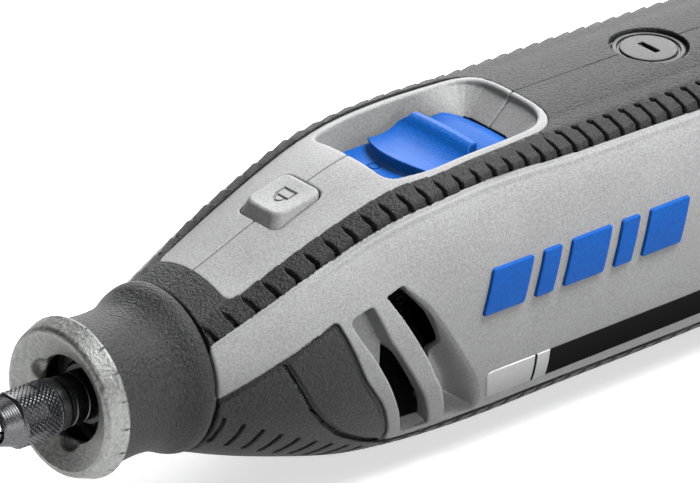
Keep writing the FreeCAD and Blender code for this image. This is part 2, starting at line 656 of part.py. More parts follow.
def slab(x0, x1, half=40.0, low=-40.0, high=40.0):
    return Part.makeBox(x1 - x0, 2 * half, high - low, Vector(x0, -half, low))


def prism(points, plane, start, depth):
    """A prism from an outline of (across, up) points on the XY or XZ plane."""
    if plane == "XY":
        corners = [Vector(a, b, start) for a, b in points]
        along = Vector(0, 0, depth)
    else:
        corners = [Vector(a, start, b) for a, b in points]
        along = Vector(0, depth, 0)
    return Part.Face(Part.makePolygon(corners + corners[:1])).extrude(along)


def both_sides(points, plane="XZ"):
    """The same side outline cut through the left and the right side of the housing."""
    return [prism(points, plane, -40.0, 38.0), prism(points, plane, 2.0, 38.0)]


# Outlines on the housing, in (station, height) seen from the side, or (station, half width)
# seen from above.
STRIP_LOWER = [(38, 12.0), (52, 13.8), (68, 15.0), (84, 16.6), (100, 17.0), (150, 17.3), (203, 15.8),
               (214, 14.8)]
PANEL = [(44.2, 9.2), (56, 10.4), (70, 11.4), (80, 12.2), (88, 13.4), (109, 13.4), (114.5, 11),
         (118, 6), (118.6, 0)]
BELLY_GRIP = [(37, -0.5), (38, -0.5), (60, 9.9), (64.8, -1.7), (69.7, -9.0), (74.0, -17.2), (82, -20),
              (100, -21), (150, -21.5), (203, -20), (214, -19)]
VENT_FRONT = [(63.2, 9.6), (67.2, 11.0), (81.6, -15.4), (76.6, -15.4), (71.0, -5.0)]
VENT_REAR = [(70.4, 12.0), (75.2, 13.2), (82.3, 4.3), (88.6, -6.7), (91.6, -15.4), (85.4, -15.4)]


def mirrored_outline(half):
    return half + [(x, -y) for x, y in reversed(half) if y > 0]


def grip_shapes(outer, core):
    """The soft skins moulded over the housing: one round the top and one under the belly."""
    skin = outer.cut(core)
    above = prism(mirrored_outline(STRIP_LOWER), "XY", 4.0, 40.0)
    panel = prism(mirrored_outline(PANEL), "XY", 4.0, 40.0)
    cap_x = number("brush_station")
    cap_hole = Part.makeCylinder(number("brush_cap_r") + 0.5, 60, Vector(cap_x, 0, -30))
    dial_slot = slab(186.4, 205.6, 3.2, 15.0, 40.0)
    upper = skin.common(above).cut(Part.makeCompound([panel, cap_hole, dial_slot]))
    below = prism(BELLY_GRIP + [(214, -40), (37, -40)], "XZ", -40.0, 80.0)
    lower = skin.common(below).cut(cap_hole)
    return upper, lower


def screw_tools(name):
    """Boss, shank hole and head hole of one housing screw, which enters from +Y."""
    x, z = number("screw_%s_x" % name), number("screw_%s_z" % name)
    along = Vector(0, 1, 0)
    boss = Part.makeCylinder(3.4, 60, Vector(x, -30, z), along)
    shank = Part.makeCylinder(number("screw_r"), 24, Vector(x, -9.5, z), along)
    head = Part.makeCylinder(number("screw_head_r") + 0.2, 40, Vector(x, 9.0, z), along)
    return boss, shank, head


def make_housing():
    outer = lofted(STATIONS, 0.0)
    core = lofted(STATIONS, number("grip_depth"))
    upper_grip, lower_grip = grip_shapes(outer, core)

    wall = number("wall")
    cavity = lofted(STATIONS, wall).common(slab(number("carrier_rear"), number("housing_rear") + 1))
    filled = []
    mid, rear = number("mid_bearing_x"), number("rear_bearing_x")
    width = number("motor_bearing_width")
    link_half, link_height, link_y, link_z = 1.8, 2.6, 10.4, 20.0

    def link_way(start, length):
        """The passage that the switch link slides in."""
        return Part.makeBox(length, 2 * link_half, link_height, Vector(start, link_y - link_half, link_z))

    airway_half = 6.0
    for start, bore in ((mid, number("motor_bearing_r")), (rear, number("sleeve_r"))):
        plate = slab(start, start + width)
        plate = plate.cut(Part.makeCylinder(bore, width, Vector(start, 0, 0), Vector(1, 0, 0)))
        airways = [Part.makeBox(width, 2 * airway_half, 7, Vector(start, -airway_half, z))
                   for z in (-20.5, 12.0)]
        airways += [Part.makeBox(width, 6, 2 * airway_half, Vector(start, y, -airway_half))
                    for y in (-18.5, 12.5)]
        filled.append(plate.cut(Part.makeCompound(airways + [link_way(start, width)])))
    stack_r = number("stack_r")
    core_x, core_length = number("core_x"), number("core_length")
    rib_width = 3.0
    for start in (core_x + rib_width, core_x + core_length - 2 * rib_width):
        rib = slab(start, start + rib_width)
        rib = rib.cut(Part.makeCylinder(stack_r, rib_width, Vector(start, 0, 0), Vector(1, 0, 0)))
        filled.append(rib.cut(link_way(start, rib_width)))
    pocket_front, pocket_rear = number("pocket_front"), number("pocket_rear")
    half, floor = number("pocket_half"), number("pocket_floor")
    filled.append(slab(pocket_front - 1.4, pocket_rear + 1.4, half + 1.4, floor - 1.0, 40.0))
    lock_x = number("lock_station")
    shelf_low, shelf_high = 7.0, 8.4
    shelf = slab(number("carrier_rear") + 6.0, number("lock_collar_rear") + 0.5, 40.0, shelf_low, shelf_high)
    guide = Part.makeCylinder(number("lock_pin_r") + 0.05, 4, Vector(lock_x, 0, shelf_low - 1.0))
    filled.append(shelf.cut(guide))
    cap_x, cap_r = number("brush_station"), number("brush_cap_r")
    for low in (-40.0, 20.0):
        filled.append(Part.makeCylinder(cap_r + 2.0, 20, Vector(cap_x, 0, low)))
    screws = [screw_tools(name) for name, x, z in SCREWS]
    filled += [boss for boss, shank, head in screws]
    tail_rib = slab(205.5, 208.0)
    filled.append(tail_rib.cut(slab(200, 210, 14.0, -15.0, 18.0)))
    board_shelf = slab(174.0, 200.0, 40.0, -14.6, -13.0)
    filled.append(board_shelf.cut(slab(170, 205, 13.5)))
    cavity = cavity.cut(filled)

    holes = [cavity]
    holes.append(Part.makeCylinder(number("carrier_thread_r"), 20, Vector(30, 0, 0), Vector(1, 0, 0)))
    flange_x, flange_end = number("carrier_flange_x"), number("carrier_rear")
    holes.append(Part.makeCylinder(number("carrier_flange_r"), flange_end - flange_x,
                                   Vector(flange_x, 0, 0), Vector(1, 0, 0)))
    holes.append(slab(pocket_front, pocket_rear, half, floor, 40.0))
    holes.append(Part.makeBox(8, 3.2, 2.2, Vector(pocket_rear - 2, 8.8, floor + 0.05)))
    button_half = number("button_half") + 0.25
    holes.append(slab(number("button_front") - 0.3, number("button_rear") + 0.3, button_half, 12.0, 40.0))
    for side in (1, -1):
        foot = Vector(cap_x, 0, 0)
        along = Vector(0, 0, side)
        holes.append(Part.makeCylinder(4.8, 40, foot + along * 21.8, along))
        holes.append(Part.makeBox(9.2, 7.4, 3.0, Vector(cap_x - 4.6, -3.7, 19.0 if side > 0 else -22.0)))
        face = "brush_cap_top" if side > 0 else "brush_cap_low"
        seat = number(face) - number("brush_cap_thickness")
        holes.append(Part.makeCylinder(cap_r + 0.4, 20, foot + along * seat, along))
    holes += both_sides(VENT_FRONT) + both_sides(VENT_REAR)
    holes.append(slab(186.6, 205.4, 3.0, 8.0, 40.0))
    for boss, shank, head in screws:
        holes += [shank, head]
    shell = outer.cut([upper_grip, lower_grip]).cut(holes)

    motor_clear = Part.makeCylinder(stack_r, core_length, Vector(core_x, 0, 0), Vector(1, 0, 0))
    shell = shell.cut(motor_clear)
    for side, y0 in (("left", -40.0), ("right", 0.0)):
        half_space = Part.makeBox(300, 40, 80, Vector(0, y0, -40))
        shaped("housing_" + side, biggest(shell.common(half_space)))
        shaped("upper_grip_" + side, solid_group(upper_grip.common(half_space)))
        lower = lower_grip.common(half_space)
        if side == "right":
            lower = lower.cut([head for boss, shank, head in screws])
        shaped("lower_grip_" + side, solid_group(lower))


def biggest(shape):
    return max(shape.Solids, key=lambda solid: solid.Volume)


def solid_group(shape):
    """Every solid larger than a crumb, as one shape."""
    solids = [solid for solid in shape.Solids if solid.Volume > 0.5]
    return solids[0] if len(solids) == 1 else Part.makeCompound(solids)


def make_rear_cap():
    outer = lofted(TAIL_STATIONS, 0.0)
    inner = lofted(TAIL_STATIONS[:2], number("wall"))
    bail_x, pivot_z = number("bail_x"), number("bail_pivot_z")
    root_x = number("tail_end") - 2.5
    eye_r, eye_half = 2.2, 6.0
    lug = Part.makeBox(bail_x - root_x, 2 * eye_half, 2 * eye_r, Vector(root_x, -eye_half, pivot_z - eye_r))
    eye = Part.makeCylinder(eye_r, 2 * eye_half, Vector(bail_x, -eye_half, pivot_z), Vector(0, 1, 0))
    cap = outer.cut(inner).fuse([lug, eye])
    bore = Part.makeCylinder(number("bail_wire_r") + 0.05, 20, Vector(bail_x, -10, pivot_z), Vector(0, 1, 0))
    gland_hole = Part.makeCylinder(number("gland_r"), 30, Vector(205, 0, 0), Vector(1, 0, 0))
    slot_width, slot_height, slot_y, slot_z, row_pitch = 9.0, 1.8, 12.0, -9.0, 3.6
    slots = [Part.makeBox(30, slot_width, slot_height,
                          Vector(205, side * slot_y - slot_width / 2, slot_z + row_pitch * row))
             for row in range(5) for side in (-1, 1)]
    shaped("rear_cap", cap.cut([bore, gland_hole] + slots))


def make_gland():
    turned("cord_gland", [
        ("gland_front", "gland_bore_r"), ("gland_end", "gland_bore_r"), ("gland_end", "gland_r - 1.2"),
        ("tail_end", "gland_r"), ("gland_front + 1.5", "gland_r"), ("gland_front + 1.5", "gland_flange_r"),
        ("gland_front", "gland_flange_r"),
    ])


def make_bail():
    """A wire loop that hangs from two short pivots and swings up behind the rear cap."""
    wire_r = number("bail_wire_r")
    x, z, half = number("bail_x"), number("bail_pivot_z"), number("bail_half")
    drop = 17.0
    bend = 1.6
    pivot_end = 3.2
    corner = (1 - math.sqrt(0.5)) * bend
    path = [
        Part.LineSegment(Vector(x, -pivot_end, z), Vector(x, -half + bend, z)),
        Part.Arc(Vector(x, -half + bend, z), Vector(x, -half + corner, z - corner),
                 Vector(x, -half, z - bend)),
        Part.LineSegment(Vector(x, -half, z - bend), Vector(x, -half, z - drop)),
        Part.Arc(Vector(x, -half, z - drop), Vector(x, 0, z - drop - half), Vector(x, half, z - drop)),
        Part.LineSegment(Vector(x, half, z - drop), Vector(x, half, z - bend)),
        Part.Arc(Vector(x, half, z - bend), Vector(x, half - corner, z - corner),
                 Vector(x, half - bend, z)),
        Part.LineSegment(Vector(x, half - bend, z), Vector(x, pivot_end, z)),
    ]
    wire = Part.Wire([piece.toShape() for piece in path])
    start = Part.Wire(Part.makeCircle(wire_r, Vector(x, -pivot_end, z), Vector(0, 1, 0)))
    shaped("hanger_bail", wire.makePipeShell([start], True, False))


# ---------------------------------------------------------------- controls

def make_switch():
    front = "pocket_front + slider_travel + 0.5"
    rear = "pocket_rear - 0.5"
    base = "pocket_floor + 0.1"
    ridge = "slider_ridge_x"
    milled("slider_core", "XZ_Plane", [
        (front, base), (rear, base), (rear, "slider_plate_top + 0.4"), ("pocket_rear - 8", "slider_pad_low"),
        (ridge + " + 0.6", "slider_pad_low + 0.2"), (ridge, "slider_top"), (ridge + " - 1.9", "slider_top"),
        (ridge + " - 4.3", "slider_pad_low + 1"), (ridge + " - 7.8", "slider_pad_low + 0.3"),
        ("slider_pad_x", "slider_pad_low + 1.1"), ("slider_pad_x + 0.2", "slider_plate_top + 0.5"),
        (front, "slider_plate_top + 0.5"),
    ], "slider_half + slider_half - 0.8")
    plate = box("slider_plate", (front, "0 - slider_half", base),
                ("pocket_rear - pocket_front - slider_travel - 1", twice("slider_half"), "1.6"))
    fuse("switch_slider", doc.getObject("slider_core"), plate)

    far_side = "slider_half + link_width"
    milled("link_blank", "XY_Plane", [
        ("link_front", "slider_half"), ("link_rear", "slider_half"), ("link_rear", far_side),
        ("link_front", far_side),
    ], twice("link_half_height"))
    link = doc.getObject("link_blank")
    link.Label = "switch_link"
    middle = "pocket_floor + 0.3 + link_half_height"
    link.Placement = FreeCAD.Placement(Vector(0, 0, number(middle)), FreeCAD.Rotation())
    link.setExpression("Placement.Base.z", formula(middle))
    body = box("switch_case", ("switch_case_x", "2", "8"), ("14.5", "12", "11.6"))
    lever = box("switch_lever", ("switch_case_x + 4.5", "9.2", "19.6"), ("2", "2", "0.8"))
    fuse("switch_module", body, lever)


def make_lock():
    base = "lock_flange_low + lock_flange_height"
    milled("lock_button_top", "XZ_Plane", [
        ("button_front", base), ("button_rear", base), ("button_rear", "button_top"),
        ("button_front + 1.2", "button_top - 2.3"), ("button_front", "button_top - 5.1"),
    ], twice("button_half"))
    flange_length = "button_rear - button_front + 2.5"
    flange = box("lock_button_flange", ("button_front - 1.3", "0 - lock_flange_half", "lock_flange_low"),
                 (flange_length, twice("lock_flange_half"), "lock_flange_height"))
    fuse("lock_button", doc.getObject("lock_button_top"), flange)
    pin_low = "lock_collar_r + 1"
    cylinder("lock_pin", "lock_pin_r", "lock_flange_low - " + "lock_collar_r - 1",
             ("lock_station", "0", pin_low), "Z")
    coil_r = 2.4
    wire_r = 0.4
    pitch = 1.36
    turns = 3
    shelf_top = 8.45
    path = Part.makeHelix(pitch, turns * pitch, coil_r)
    wire = Part.Wire(Part.makeCircle(wire_r, Vector(coil_r, 0, 0), Vector(0, 1, 0)))
    coil = Part.Wire(path.Edges).makePipeShell([wire], True, True)
    shaped("lock_spring", coil, Vector(number("lock_station"), 0, shelf_top + wire_r))


def make_speed_control():
    x, z = "dial_station", "dial_height"
    wheel = cylinder("dial_wheel", "dial_r", "dial_half + dial_half", (x, "0 - dial_half", z), "Y")
    axle = cylinder("dial_axle", "1.45", "dial_half + 8", (x, "0", z), "Y")
    fuse("speed_dial", wheel, axle)
    case = box("pot_case", (x + " - 5.5", "3.2", z + " - 6"), ("15", "6.6", "7.8"))
    bore = cylinder("pot_bore", "1.5", "10", (x, "2", z), "Y")
    cut("speed_control", case, bore)
    board = box("board_plate", ("172.5", "0 - 15", "0 - 13"), ("29", "30", "1.6"))
    choke = cylinder("board_choke", "5", "9", ("182", "8", "0 - 11.4"), "Z")
    capacitor = box("board_capacitor", ("188", "0 - 13", "0 - 11.4"), ("12", "6", "10"))
    sink = box("board_sink", ("177", "0 - 13", "0 - 11.4"), ("10", "2", "12"))
    chip = box("board_chip", ("192", "1", "0 - 11.4"), ("8", "6", "1.8"))
    fuse("control_board", board, choke, capacitor, sink, chip)


def make_screws():
    screws = []
    for name, x, z in SCREWS:
        at = "screw_%s_x" % name, "screw_%s_z" % name
        shank = cylinder("screw_shank_" + name, "screw_r", "20", (at[0], "0 - 9.4", at[1]), "Y")
        head = cylinder("screw_head_" + name, "screw_head_r", "2.4", (at[0], "9", at[1]), "Y")
        star = doc.addObject("Part::Prism", "screw_star_" + name)
        star.Polygon = 6
        star.Circumradius = 1.5
        star.Height = 2
        place(star, (at[0], "10", at[1]), "Y")
        screws.append(cut("screw_" + name, fuse("screw_solid_" + name, shank, head), star))
    group("housing_screws", *screws)


# ---------------------------------------------------------------- side trim

def make_trim():
    """Raised slanted bars and a thin decorative band on each side."""
    surface = lofted(STATIONS, 0.0)
    raised = lofted(STATIONS, -0.7).cut(surface)
    label = lofted(STATIONS, -0.15).cut(surface)
    low, high, lean = 3.3, 11.5, 2.4
    bars = []
    start = 90.0
    for width in (9.5, 4.2, 9.5, 4.2, 9.5):
        bars.append([(start, low), (start + width, low), (start + width + lean, high), (start + lean, high)])
        start += width + 2.6
    band = [(93.5, -8.7), (196.0, -8.7), (193.5, -14.4), (97.5, -14.4)]
    for side, y0 in (("left", -40.0), ("right", 0.0)):
        pieces = [raised.common(prism(bar, "XZ", y0, 40.0)) for bar in bars]
        shaped("side_badge_" + side, solid_group(Part.makeCompound(pieces)))
        shaped("side_band_" + side, solid_group(label.common(prism(band, "XZ", y0, 40.0))))


NODES = [
    "collet", "collet_nut", "spindle", "dust_seal", "drive_coupling", "armature_shaft", "armature_core",
    "armature_windings", "commutator", "fan", "front_bearing_inner_race", "front_bearing_outer_race",
    "front_bearing_balls", "mid_bearing_inner_race", "mid_bearing_outer_race", "mid_bearing_balls",
    "rear_bearing_inner_race", "rear_bearing_outer_race", "rear_bearing_balls", "rear_bearing_sleeve",
    "field_stack", "field_coil_upper", "field_coil_lower", "brush_holder_upper", "brush_holder_lower",
    "carbon_brush_upper", "carbon_brush_lower", "brush_spring_upper", "brush_spring_lower",
    "brush_cap_upper", "brush_cap_lower", "nose_carrier", "bearing_circlip", "wrench_ring",
    "nose_cap_insert", "nose_cap", "housing_left", "housing_right", "upper_grip_left",
    "upper_grip_right", "lower_grip_left", "lower_grip_right", "rear_cap", "cord_gland", "hanger_bail",
    "switch_slider", "switch_link", "switch_module", "lock_button", "lock_pin", "lock_spring",
    "speed_dial", "speed_control", "control_board", "housing_screws", "side_badge_left",
    "side_badge_right", "side_band_left", "side_band_right",
]


def build():
    fill_sheet()
    make_collet()
    make_collet_nut()
    make_spindle()
    make_bearings()
    make_dust_seal()
    make_drive_coupling()
    make_armature()
    make_fan()
    make_field()
    make_brush_gear("upper", 1)
    make_brush_gear("lower", -1)
    make_nose()
    make_housing()
    make_rear_cap()
    make_gland()
    make_bail()
    make_switch()
    make_lock()
    make_speed_control()
    make_screws()
    make_trim()
    doc.recompute()


def export():
    """Check every object, then write one STEP file for each node."""
    for obj in doc.Objects:
        if "Invalid" in obj.State or "Error" in obj.State:
            raise SystemExit("%s failed: %s" % (obj.Label, obj.State))
    pieces = []
    for name in NODES:
        found = doc.getObjectsByLabel(name)
        if len(found) != 1:
            raise SystemExit("%d objects are labelled %s" % (len(found), name))
        shape = found[0].Shape
        if shape.isNull() or not shape.isValid() or not shape.Solids:
            raise SystemExit("%s has no valid solid" % name)
        pieces.append((name, shape))
    os.makedirs("parts", exist_ok=True)
    for name, shape in pieces:
        shape.exportStep(os.path.join("parts", name + ".step"))
        print("%-26s %9.1f mm3  %2d solids" % (name, shape.Volume, len(shape.Solids)))


build()
export()
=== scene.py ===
import json
import math
from functools import reduce

import bpy
import numpy as np
from mathutils import Matrix, Vector


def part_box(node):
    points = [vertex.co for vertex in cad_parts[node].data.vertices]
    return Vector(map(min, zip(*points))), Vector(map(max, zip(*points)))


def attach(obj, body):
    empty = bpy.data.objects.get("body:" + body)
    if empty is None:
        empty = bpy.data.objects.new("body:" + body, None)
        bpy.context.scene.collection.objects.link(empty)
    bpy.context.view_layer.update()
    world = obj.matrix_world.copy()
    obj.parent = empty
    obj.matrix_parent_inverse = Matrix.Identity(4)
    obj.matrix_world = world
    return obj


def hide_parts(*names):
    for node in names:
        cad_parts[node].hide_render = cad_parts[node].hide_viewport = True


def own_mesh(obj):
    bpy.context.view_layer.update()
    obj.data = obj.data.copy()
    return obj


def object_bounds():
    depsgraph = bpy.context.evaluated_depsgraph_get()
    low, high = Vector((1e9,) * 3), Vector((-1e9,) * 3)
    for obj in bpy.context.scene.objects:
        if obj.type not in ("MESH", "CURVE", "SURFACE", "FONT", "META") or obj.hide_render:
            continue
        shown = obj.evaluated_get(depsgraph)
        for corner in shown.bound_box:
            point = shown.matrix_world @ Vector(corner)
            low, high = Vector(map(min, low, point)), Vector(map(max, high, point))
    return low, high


# Looks of the rotary hobby tool. Everything is worked out in the row frame: the spindle
# line is X, the collet mouth is the origin, and the switch side is +Z. Shapes are
# distance fields in millimetres, each meshed once. The scene itself is in metres.

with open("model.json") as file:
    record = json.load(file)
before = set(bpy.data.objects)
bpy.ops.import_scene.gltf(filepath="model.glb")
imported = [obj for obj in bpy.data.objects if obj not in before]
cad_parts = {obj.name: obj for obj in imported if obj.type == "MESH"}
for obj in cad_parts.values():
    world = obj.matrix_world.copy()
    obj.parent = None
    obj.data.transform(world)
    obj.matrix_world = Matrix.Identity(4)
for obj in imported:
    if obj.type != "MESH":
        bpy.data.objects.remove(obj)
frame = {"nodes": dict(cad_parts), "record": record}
cad_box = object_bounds()
NODES = frame["nodes"]
MM = 0.001


def node_box(name):
    """Lowest and highest corner of a CAD node, in millimetres."""
    low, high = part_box(name)
    return np.array(low) / MM, np.array(high) / MM


def add_object(name, data):
    """A new object in the scene."""
    made = bpy.data.objects.new(name, data)
    bpy.context.scene.collection.objects.link(made)
    return made


# ---- distance fields

def most(*parts):
    """The largest of several distances: inside all of them, with sharp edges."""
    return reduce(np.maximum, parts)


def least(*parts):
    """The smallest of several distances: inside any of them."""
    return reduce(np.minimum, parts)


def slab(value, low, high):
    """Distance to the span from low to high."""
    return np.maximum(low - value, value - high)


def softly(a, b, blend):
    """The smaller of two distances, with a fillet of about blend where they meet."""
    h = np.clip(0.5 + 0.5 * (b - a) / blend, 0.0, 1.0)
    return b + (a - b) * h - blend * h * (1.0 - h)


def both(a, b, blend=0.3):
    """Inside a and inside b, with the edge rounded."""
    return -softly(-a, -b, blend)


def without(a, b, blend=0.3):
    """Inside a but outside b, with the edge rounded."""
    return -softly(-a, b, blend)


def step_up(value, start, end):
    """0 before start, 1 after end, and smooth between."""
    t = np.clip((value - start) / (end - start), 0.0, 1.0)
    return t * t * (3.0 - 2.0 * t)


def ridge(value, width):
    """1 where value is 0, falling smoothly to 0 over width on both sides."""
    return 1.0 - step_up(np.abs(value), 0.0, width)


def block(x, y, z, low, high, radius=0.0):
    """Distance to a box with rounded edges."""
    centre = (np.array(low) + np.array(high)) / 2
    half = (np.array(high) - np.array(low)) / 2 - radius
    q = [np.abs(v - c) - h for v, c, h in zip((x, y, z), centre, half)]
    outside = np.sqrt(sum(np.maximum(v, 0.0) ** 2 for v in q))
    return outside + np.minimum(np.maximum(np.maximum(q[0], q[1]), q[2]), 0.0) - radius


def rod(u, v, radius):
    """Distance to an endless cylinder, from the two coordinates across it."""
    return np.hypot(u, v) - radius


def segment(u, v, start, end):
    """Distance to a straight stroke in a plane."""
    (u0, v0), (u1, v1) = start, end
    du, dv = u1 - u0, v1 - v0
    t = np.clip(((u - u0) * du + (v - v0) * dv) / (du * du + dv * dv), 0.0, 1.0)
    return np.hypot(u - u0 - t * du, v - v0 - t * dv)


class Curve:
    """A smooth curve through points (input, output), held level past both ends."""

    def __init__(self, points, samples=400):
        xs, ys = (np.array(column, float) for column in zip(*points))
        slope = np.gradient(ys, xs)
        self.x = np.linspace(xs[0], xs[-1], samples)
        i = np.clip(np.searchsorted(xs, self.x, side="right") - 1, 0, len(xs) - 2)
        width = xs[i + 1] - xs[i]
        t = (self.x - xs[i]) / width
        self.y = ((1 + 2 * t) * (1 - t) ** 2 * ys[i] + t * (1 - t) ** 2 * width * slope[i]
                  + t * t * (3 - 2 * t) * ys[i + 1] - t * t * (1 - t) * width * slope[i + 1])

    def __call__(self, x):
        return np.interp(x, self.x, self.y)


ARC_POINTS = 7


def corners(points, radius):
    """The points (u, v) or (u, v, corner size) of an outline, each corner turned into a short arc."""
    out = []
    count = len(points)
    for i in range(count):
        here = np.array(points[i][:2], float)
        size = points[i][2] if len(points[i]) > 2 else radius
        before = np.array(points[i - 1][:2], float) - here
        after = np.array(points[(i + 1) % count][:2], float) - here
        reach = min(size, 0.45 * np.linalg.norm(before), 0.45 * np.linalg.norm(after))
        a = here + before / np.linalg.norm(before) * reach
        b = here + after / np.linalg.norm(after) * reach
        for t in np.linspace(0.0, 1.0, ARC_POINTS):
            out.append((1 - t) ** 2 * a + 2 * t * (1 - t) * here + t * t * b)
    return np.array(out)


class Outline:
    """Signed distance to a closed outline in a plane, negative inside, kept as a fine table."""

    def __init__(self, points, radius=0.6, margin=6.0, pitch=0.12):
        line = corners(points, radius)
        self.low = line.min(0) - margin
        self.pitch = pitch
        count = np.ceil((line.max(0) + margin - self.low) / pitch).astype(int) + 1
        u = self.low[0] + pitch * np.arange(count[0])[:, None]
        v = self.low[1] + pitch * np.arange(count[1])[None, :]
        nearest = np.full((count[0], count[1]), np.inf)
        inside = np.zeros((count[0], count[1]), bool)
        for a, b in zip(line, np.roll(line, -1, axis=0)):
            if np.allclose(a, b):
                continue
            nearest = np.minimum(nearest, segment(u, v, a, b))
            if a[1] != b[1]:
                crossing = (v >= min(a[1], b[1])) & (v < max(a[1], b[1]))
                inside ^= crossing & (u < a[0] + (v - a[1]) / (b[1] - a[1]) * (b[0] - a[0]))
        self.table = np.where(inside, -nearest, nearest)

    def __call__(self, u, v):
        rows, columns = self.table.shape
        i = np.clip((u - self.low[0]) / self.pitch, 0, rows - 1.001)
        j = np.clip((v - self.low[1]) / self.pitch, 0, columns - 1.001)
        i0, j0 = i.astype(int), j.astype(int)
        fi, fj = i - i0, j - j0
        a = self.table[i0, j0] * (1 - fi) + self.table[i0 + 1, j0] * fi
        b = self.table[i0, j0 + 1] * (1 - fi) + self.table[i0 + 1, j0 + 1] * fi
        return a * (1 - fj) + b * fj


# ---- meshing a field

BLOCK = 4  # grid cells along one side of a coarse block
NEAR_CELLS = 2.0  # a block is sampled in full when the surface may come this close to it
UNEVEN = 1.35  # allowance for fields that aren't exact distances
BATCH = 8000  # coarse blocks sampled at a time
SPARE_CELLS = 2.1  # empty cells kept around the piece
# The next three are in pitches: the reach of the gradient that a point moves along, the reach of
# the one that gives its normal, and the furthest that a point moves at once.
STEP_REACH, NORMAL_REACH, STEP_MOST = 0.1, 0.35, 0.4
EDGES = [(a, b) for a in range(8) for b in range(a + 1, 8) if bin(a ^ b).count("1") == 1]


def corner_offset(corner):
    return corner >> 2 & 1, corner >> 1 & 1, corner & 1


def sample_field(field, low, counts, pitch):
    """Field values on a grid: exact near the surface, and only their sign elsewhere."""
    blocks = -(-np.array(counts) // BLOCK)
    centre = [low[k] + pitch * (BLOCK * np.arange(blocks[k]) + (BLOCK - 1) / 2) for k in range(3)]
    x, y, z = (c.ravel() for c in np.meshgrid(*centre, indexing="ij"))
    rough = field(x, y, z).reshape(blocks)
    reach = pitch * (math.sqrt(3) * (BLOCK - 1) / 2 + NEAR_CELLS) * UNEVEN
    values = np.repeat(np.repeat(np.repeat(rough, BLOCK, 0), BLOCK, 1), BLOCK, 2).astype(np.float32)
    near = np.argwhere(np.abs(rough) < reach)
    offsets = np.stack(np.meshgrid(*[np.arange(BLOCK)] * 3, indexing="ij"), -1).reshape(-1, 3)
    for part in np.array_split(near, max(1, len(near) // BATCH)):
        index = (part[:, None, :] * BLOCK + offsets[None]).reshape(-1, 3)
        point = low + pitch * index
        exact = field(point[:, 0], point[:, 1], point[:, 2])
        values[index[:, 0], index[:, 1], index[:, 2]] = exact
    return values


def slope_of(field, point, reach):
    """The field's gradient at each point, from differences over reach."""
    parts = []
    for k in range(3):
        ahead, behind = point.copy(), point.copy()
        ahead[:, k] += reach
        behind[:, k] -= reach
        parts.append((field(*ahead.T) - field(*behind.T)) / (2 * reach))
    return np.stack(parts, -1)


def surface_net(field, low, high, pitch):
    """Points and quads of the field's zero surface, one point per grid cell that it crosses."""
    low = np.array(low, float) - SPARE_CELLS * pitch
    high = np.array(high, float) + SPARE_CELLS * pitch
    counts = np.ceil((high - low) / pitch).astype(int) + 1
    values = sample_field(field, low, counts, pitch)
    inside = values < 0
    total = np.zeros(np.array(inside.shape) - 1, np.uint8)
    shape = total.shape
    for corner in range(8):
        i, j, k = corner_offset(corner)
        total += inside[i:i + shape[0], j:j + shape[1], k:k + shape[2]]
    cells = np.argwhere((total > 0) & (total < 8))
    at = np.stack([values[tuple((cells + corner_offset(c)).T)] for c in range(8)], -1)
    place = np.zeros((len(cells), 3))
    hits = np.zeros(len(cells))
    for a, b in EDGES:
        crossed = (at[:, a] < 0) != (at[:, b] < 0)
        share = at[:, a] / np.where(crossed, at[:, a] - at[:, b], 1.0)
        start, end = np.array(corner_offset(a)), np.array(corner_offset(b))
        place += np.where(crossed[:, None], start + share[:, None] * (end - start), 0.0)
        hits += crossed
    point = low + pitch * (cells + place / hits[:, None])
    number = np.full(shape, -1, np.int64)
    number[tuple(cells.T)] = np.arange(len(cells))
    quads = []
    for axis in range(3):
        u, v = (axis + 1) % 3, (axis + 2) % 3
        first = [slice(None)] * 3
        second = [slice(None)] * 3
        first[axis], second[axis] = slice(None, -1), slice(1, None)
        crossing = np.argwhere(inside[tuple(first)] != inside[tuple(second)])
        keep = (crossing[:, u] > 0) & (crossing[:, v] > 0)
        keep &= (crossing[:, u] < shape[u]) & (crossing[:, v] < shape[v])
        crossing = crossing[keep]
        ring = []
        for du, dv in ((1, 1), (0, 1), (0, 0), (1, 0)):
            cell = crossing.copy()
            cell[:, u] -= du
            cell[:, v] -= dv
            ring.append(number[tuple(cell.T)])
        quad = np.stack(ring, -1)
        outward = inside[tuple(crossing.T)]
        quad[~outward] = quad[~outward][:, ::-1]
        quads.append(quad[(quad >= 0).all(1)])
    return point, np.concatenate(quads)


def mesh_object(name, point, faces, normal=None):
    """A smooth mesh in metres from points in millimetres. All faces have as many corners."""
    mesh = bpy.data.meshes.new(name)
    faces = np.asarray(faces)
    count, size = faces.shape
    mesh.vertices.add(len(point))
    mesh.vertices.foreach_set("co", (np.asarray(point) * MM).astype(np.float32).ravel())
    mesh.loops.add(count * size)
    mesh.loops.foreach_set("vertex_index", faces.astype(np.int32).ravel())
    mesh.polygons.add(count)
    mesh.polygons.foreach_set("loop_start", np.arange(0, count * size, size, dtype=np.int32))
    mesh.update(calc_edges=True)
    mesh.validate()
    mesh.polygons.foreach_set("use_smooth", np.ones(len(mesh.polygons), bool))
    if normal is not None and len(mesh.vertices) == len(normal):
        mesh.normals_split_custom_set_from_vertices(normal.astype(np.float32))
    return add_object(name, mesh)


MOST_TRIANGLES = 190_000


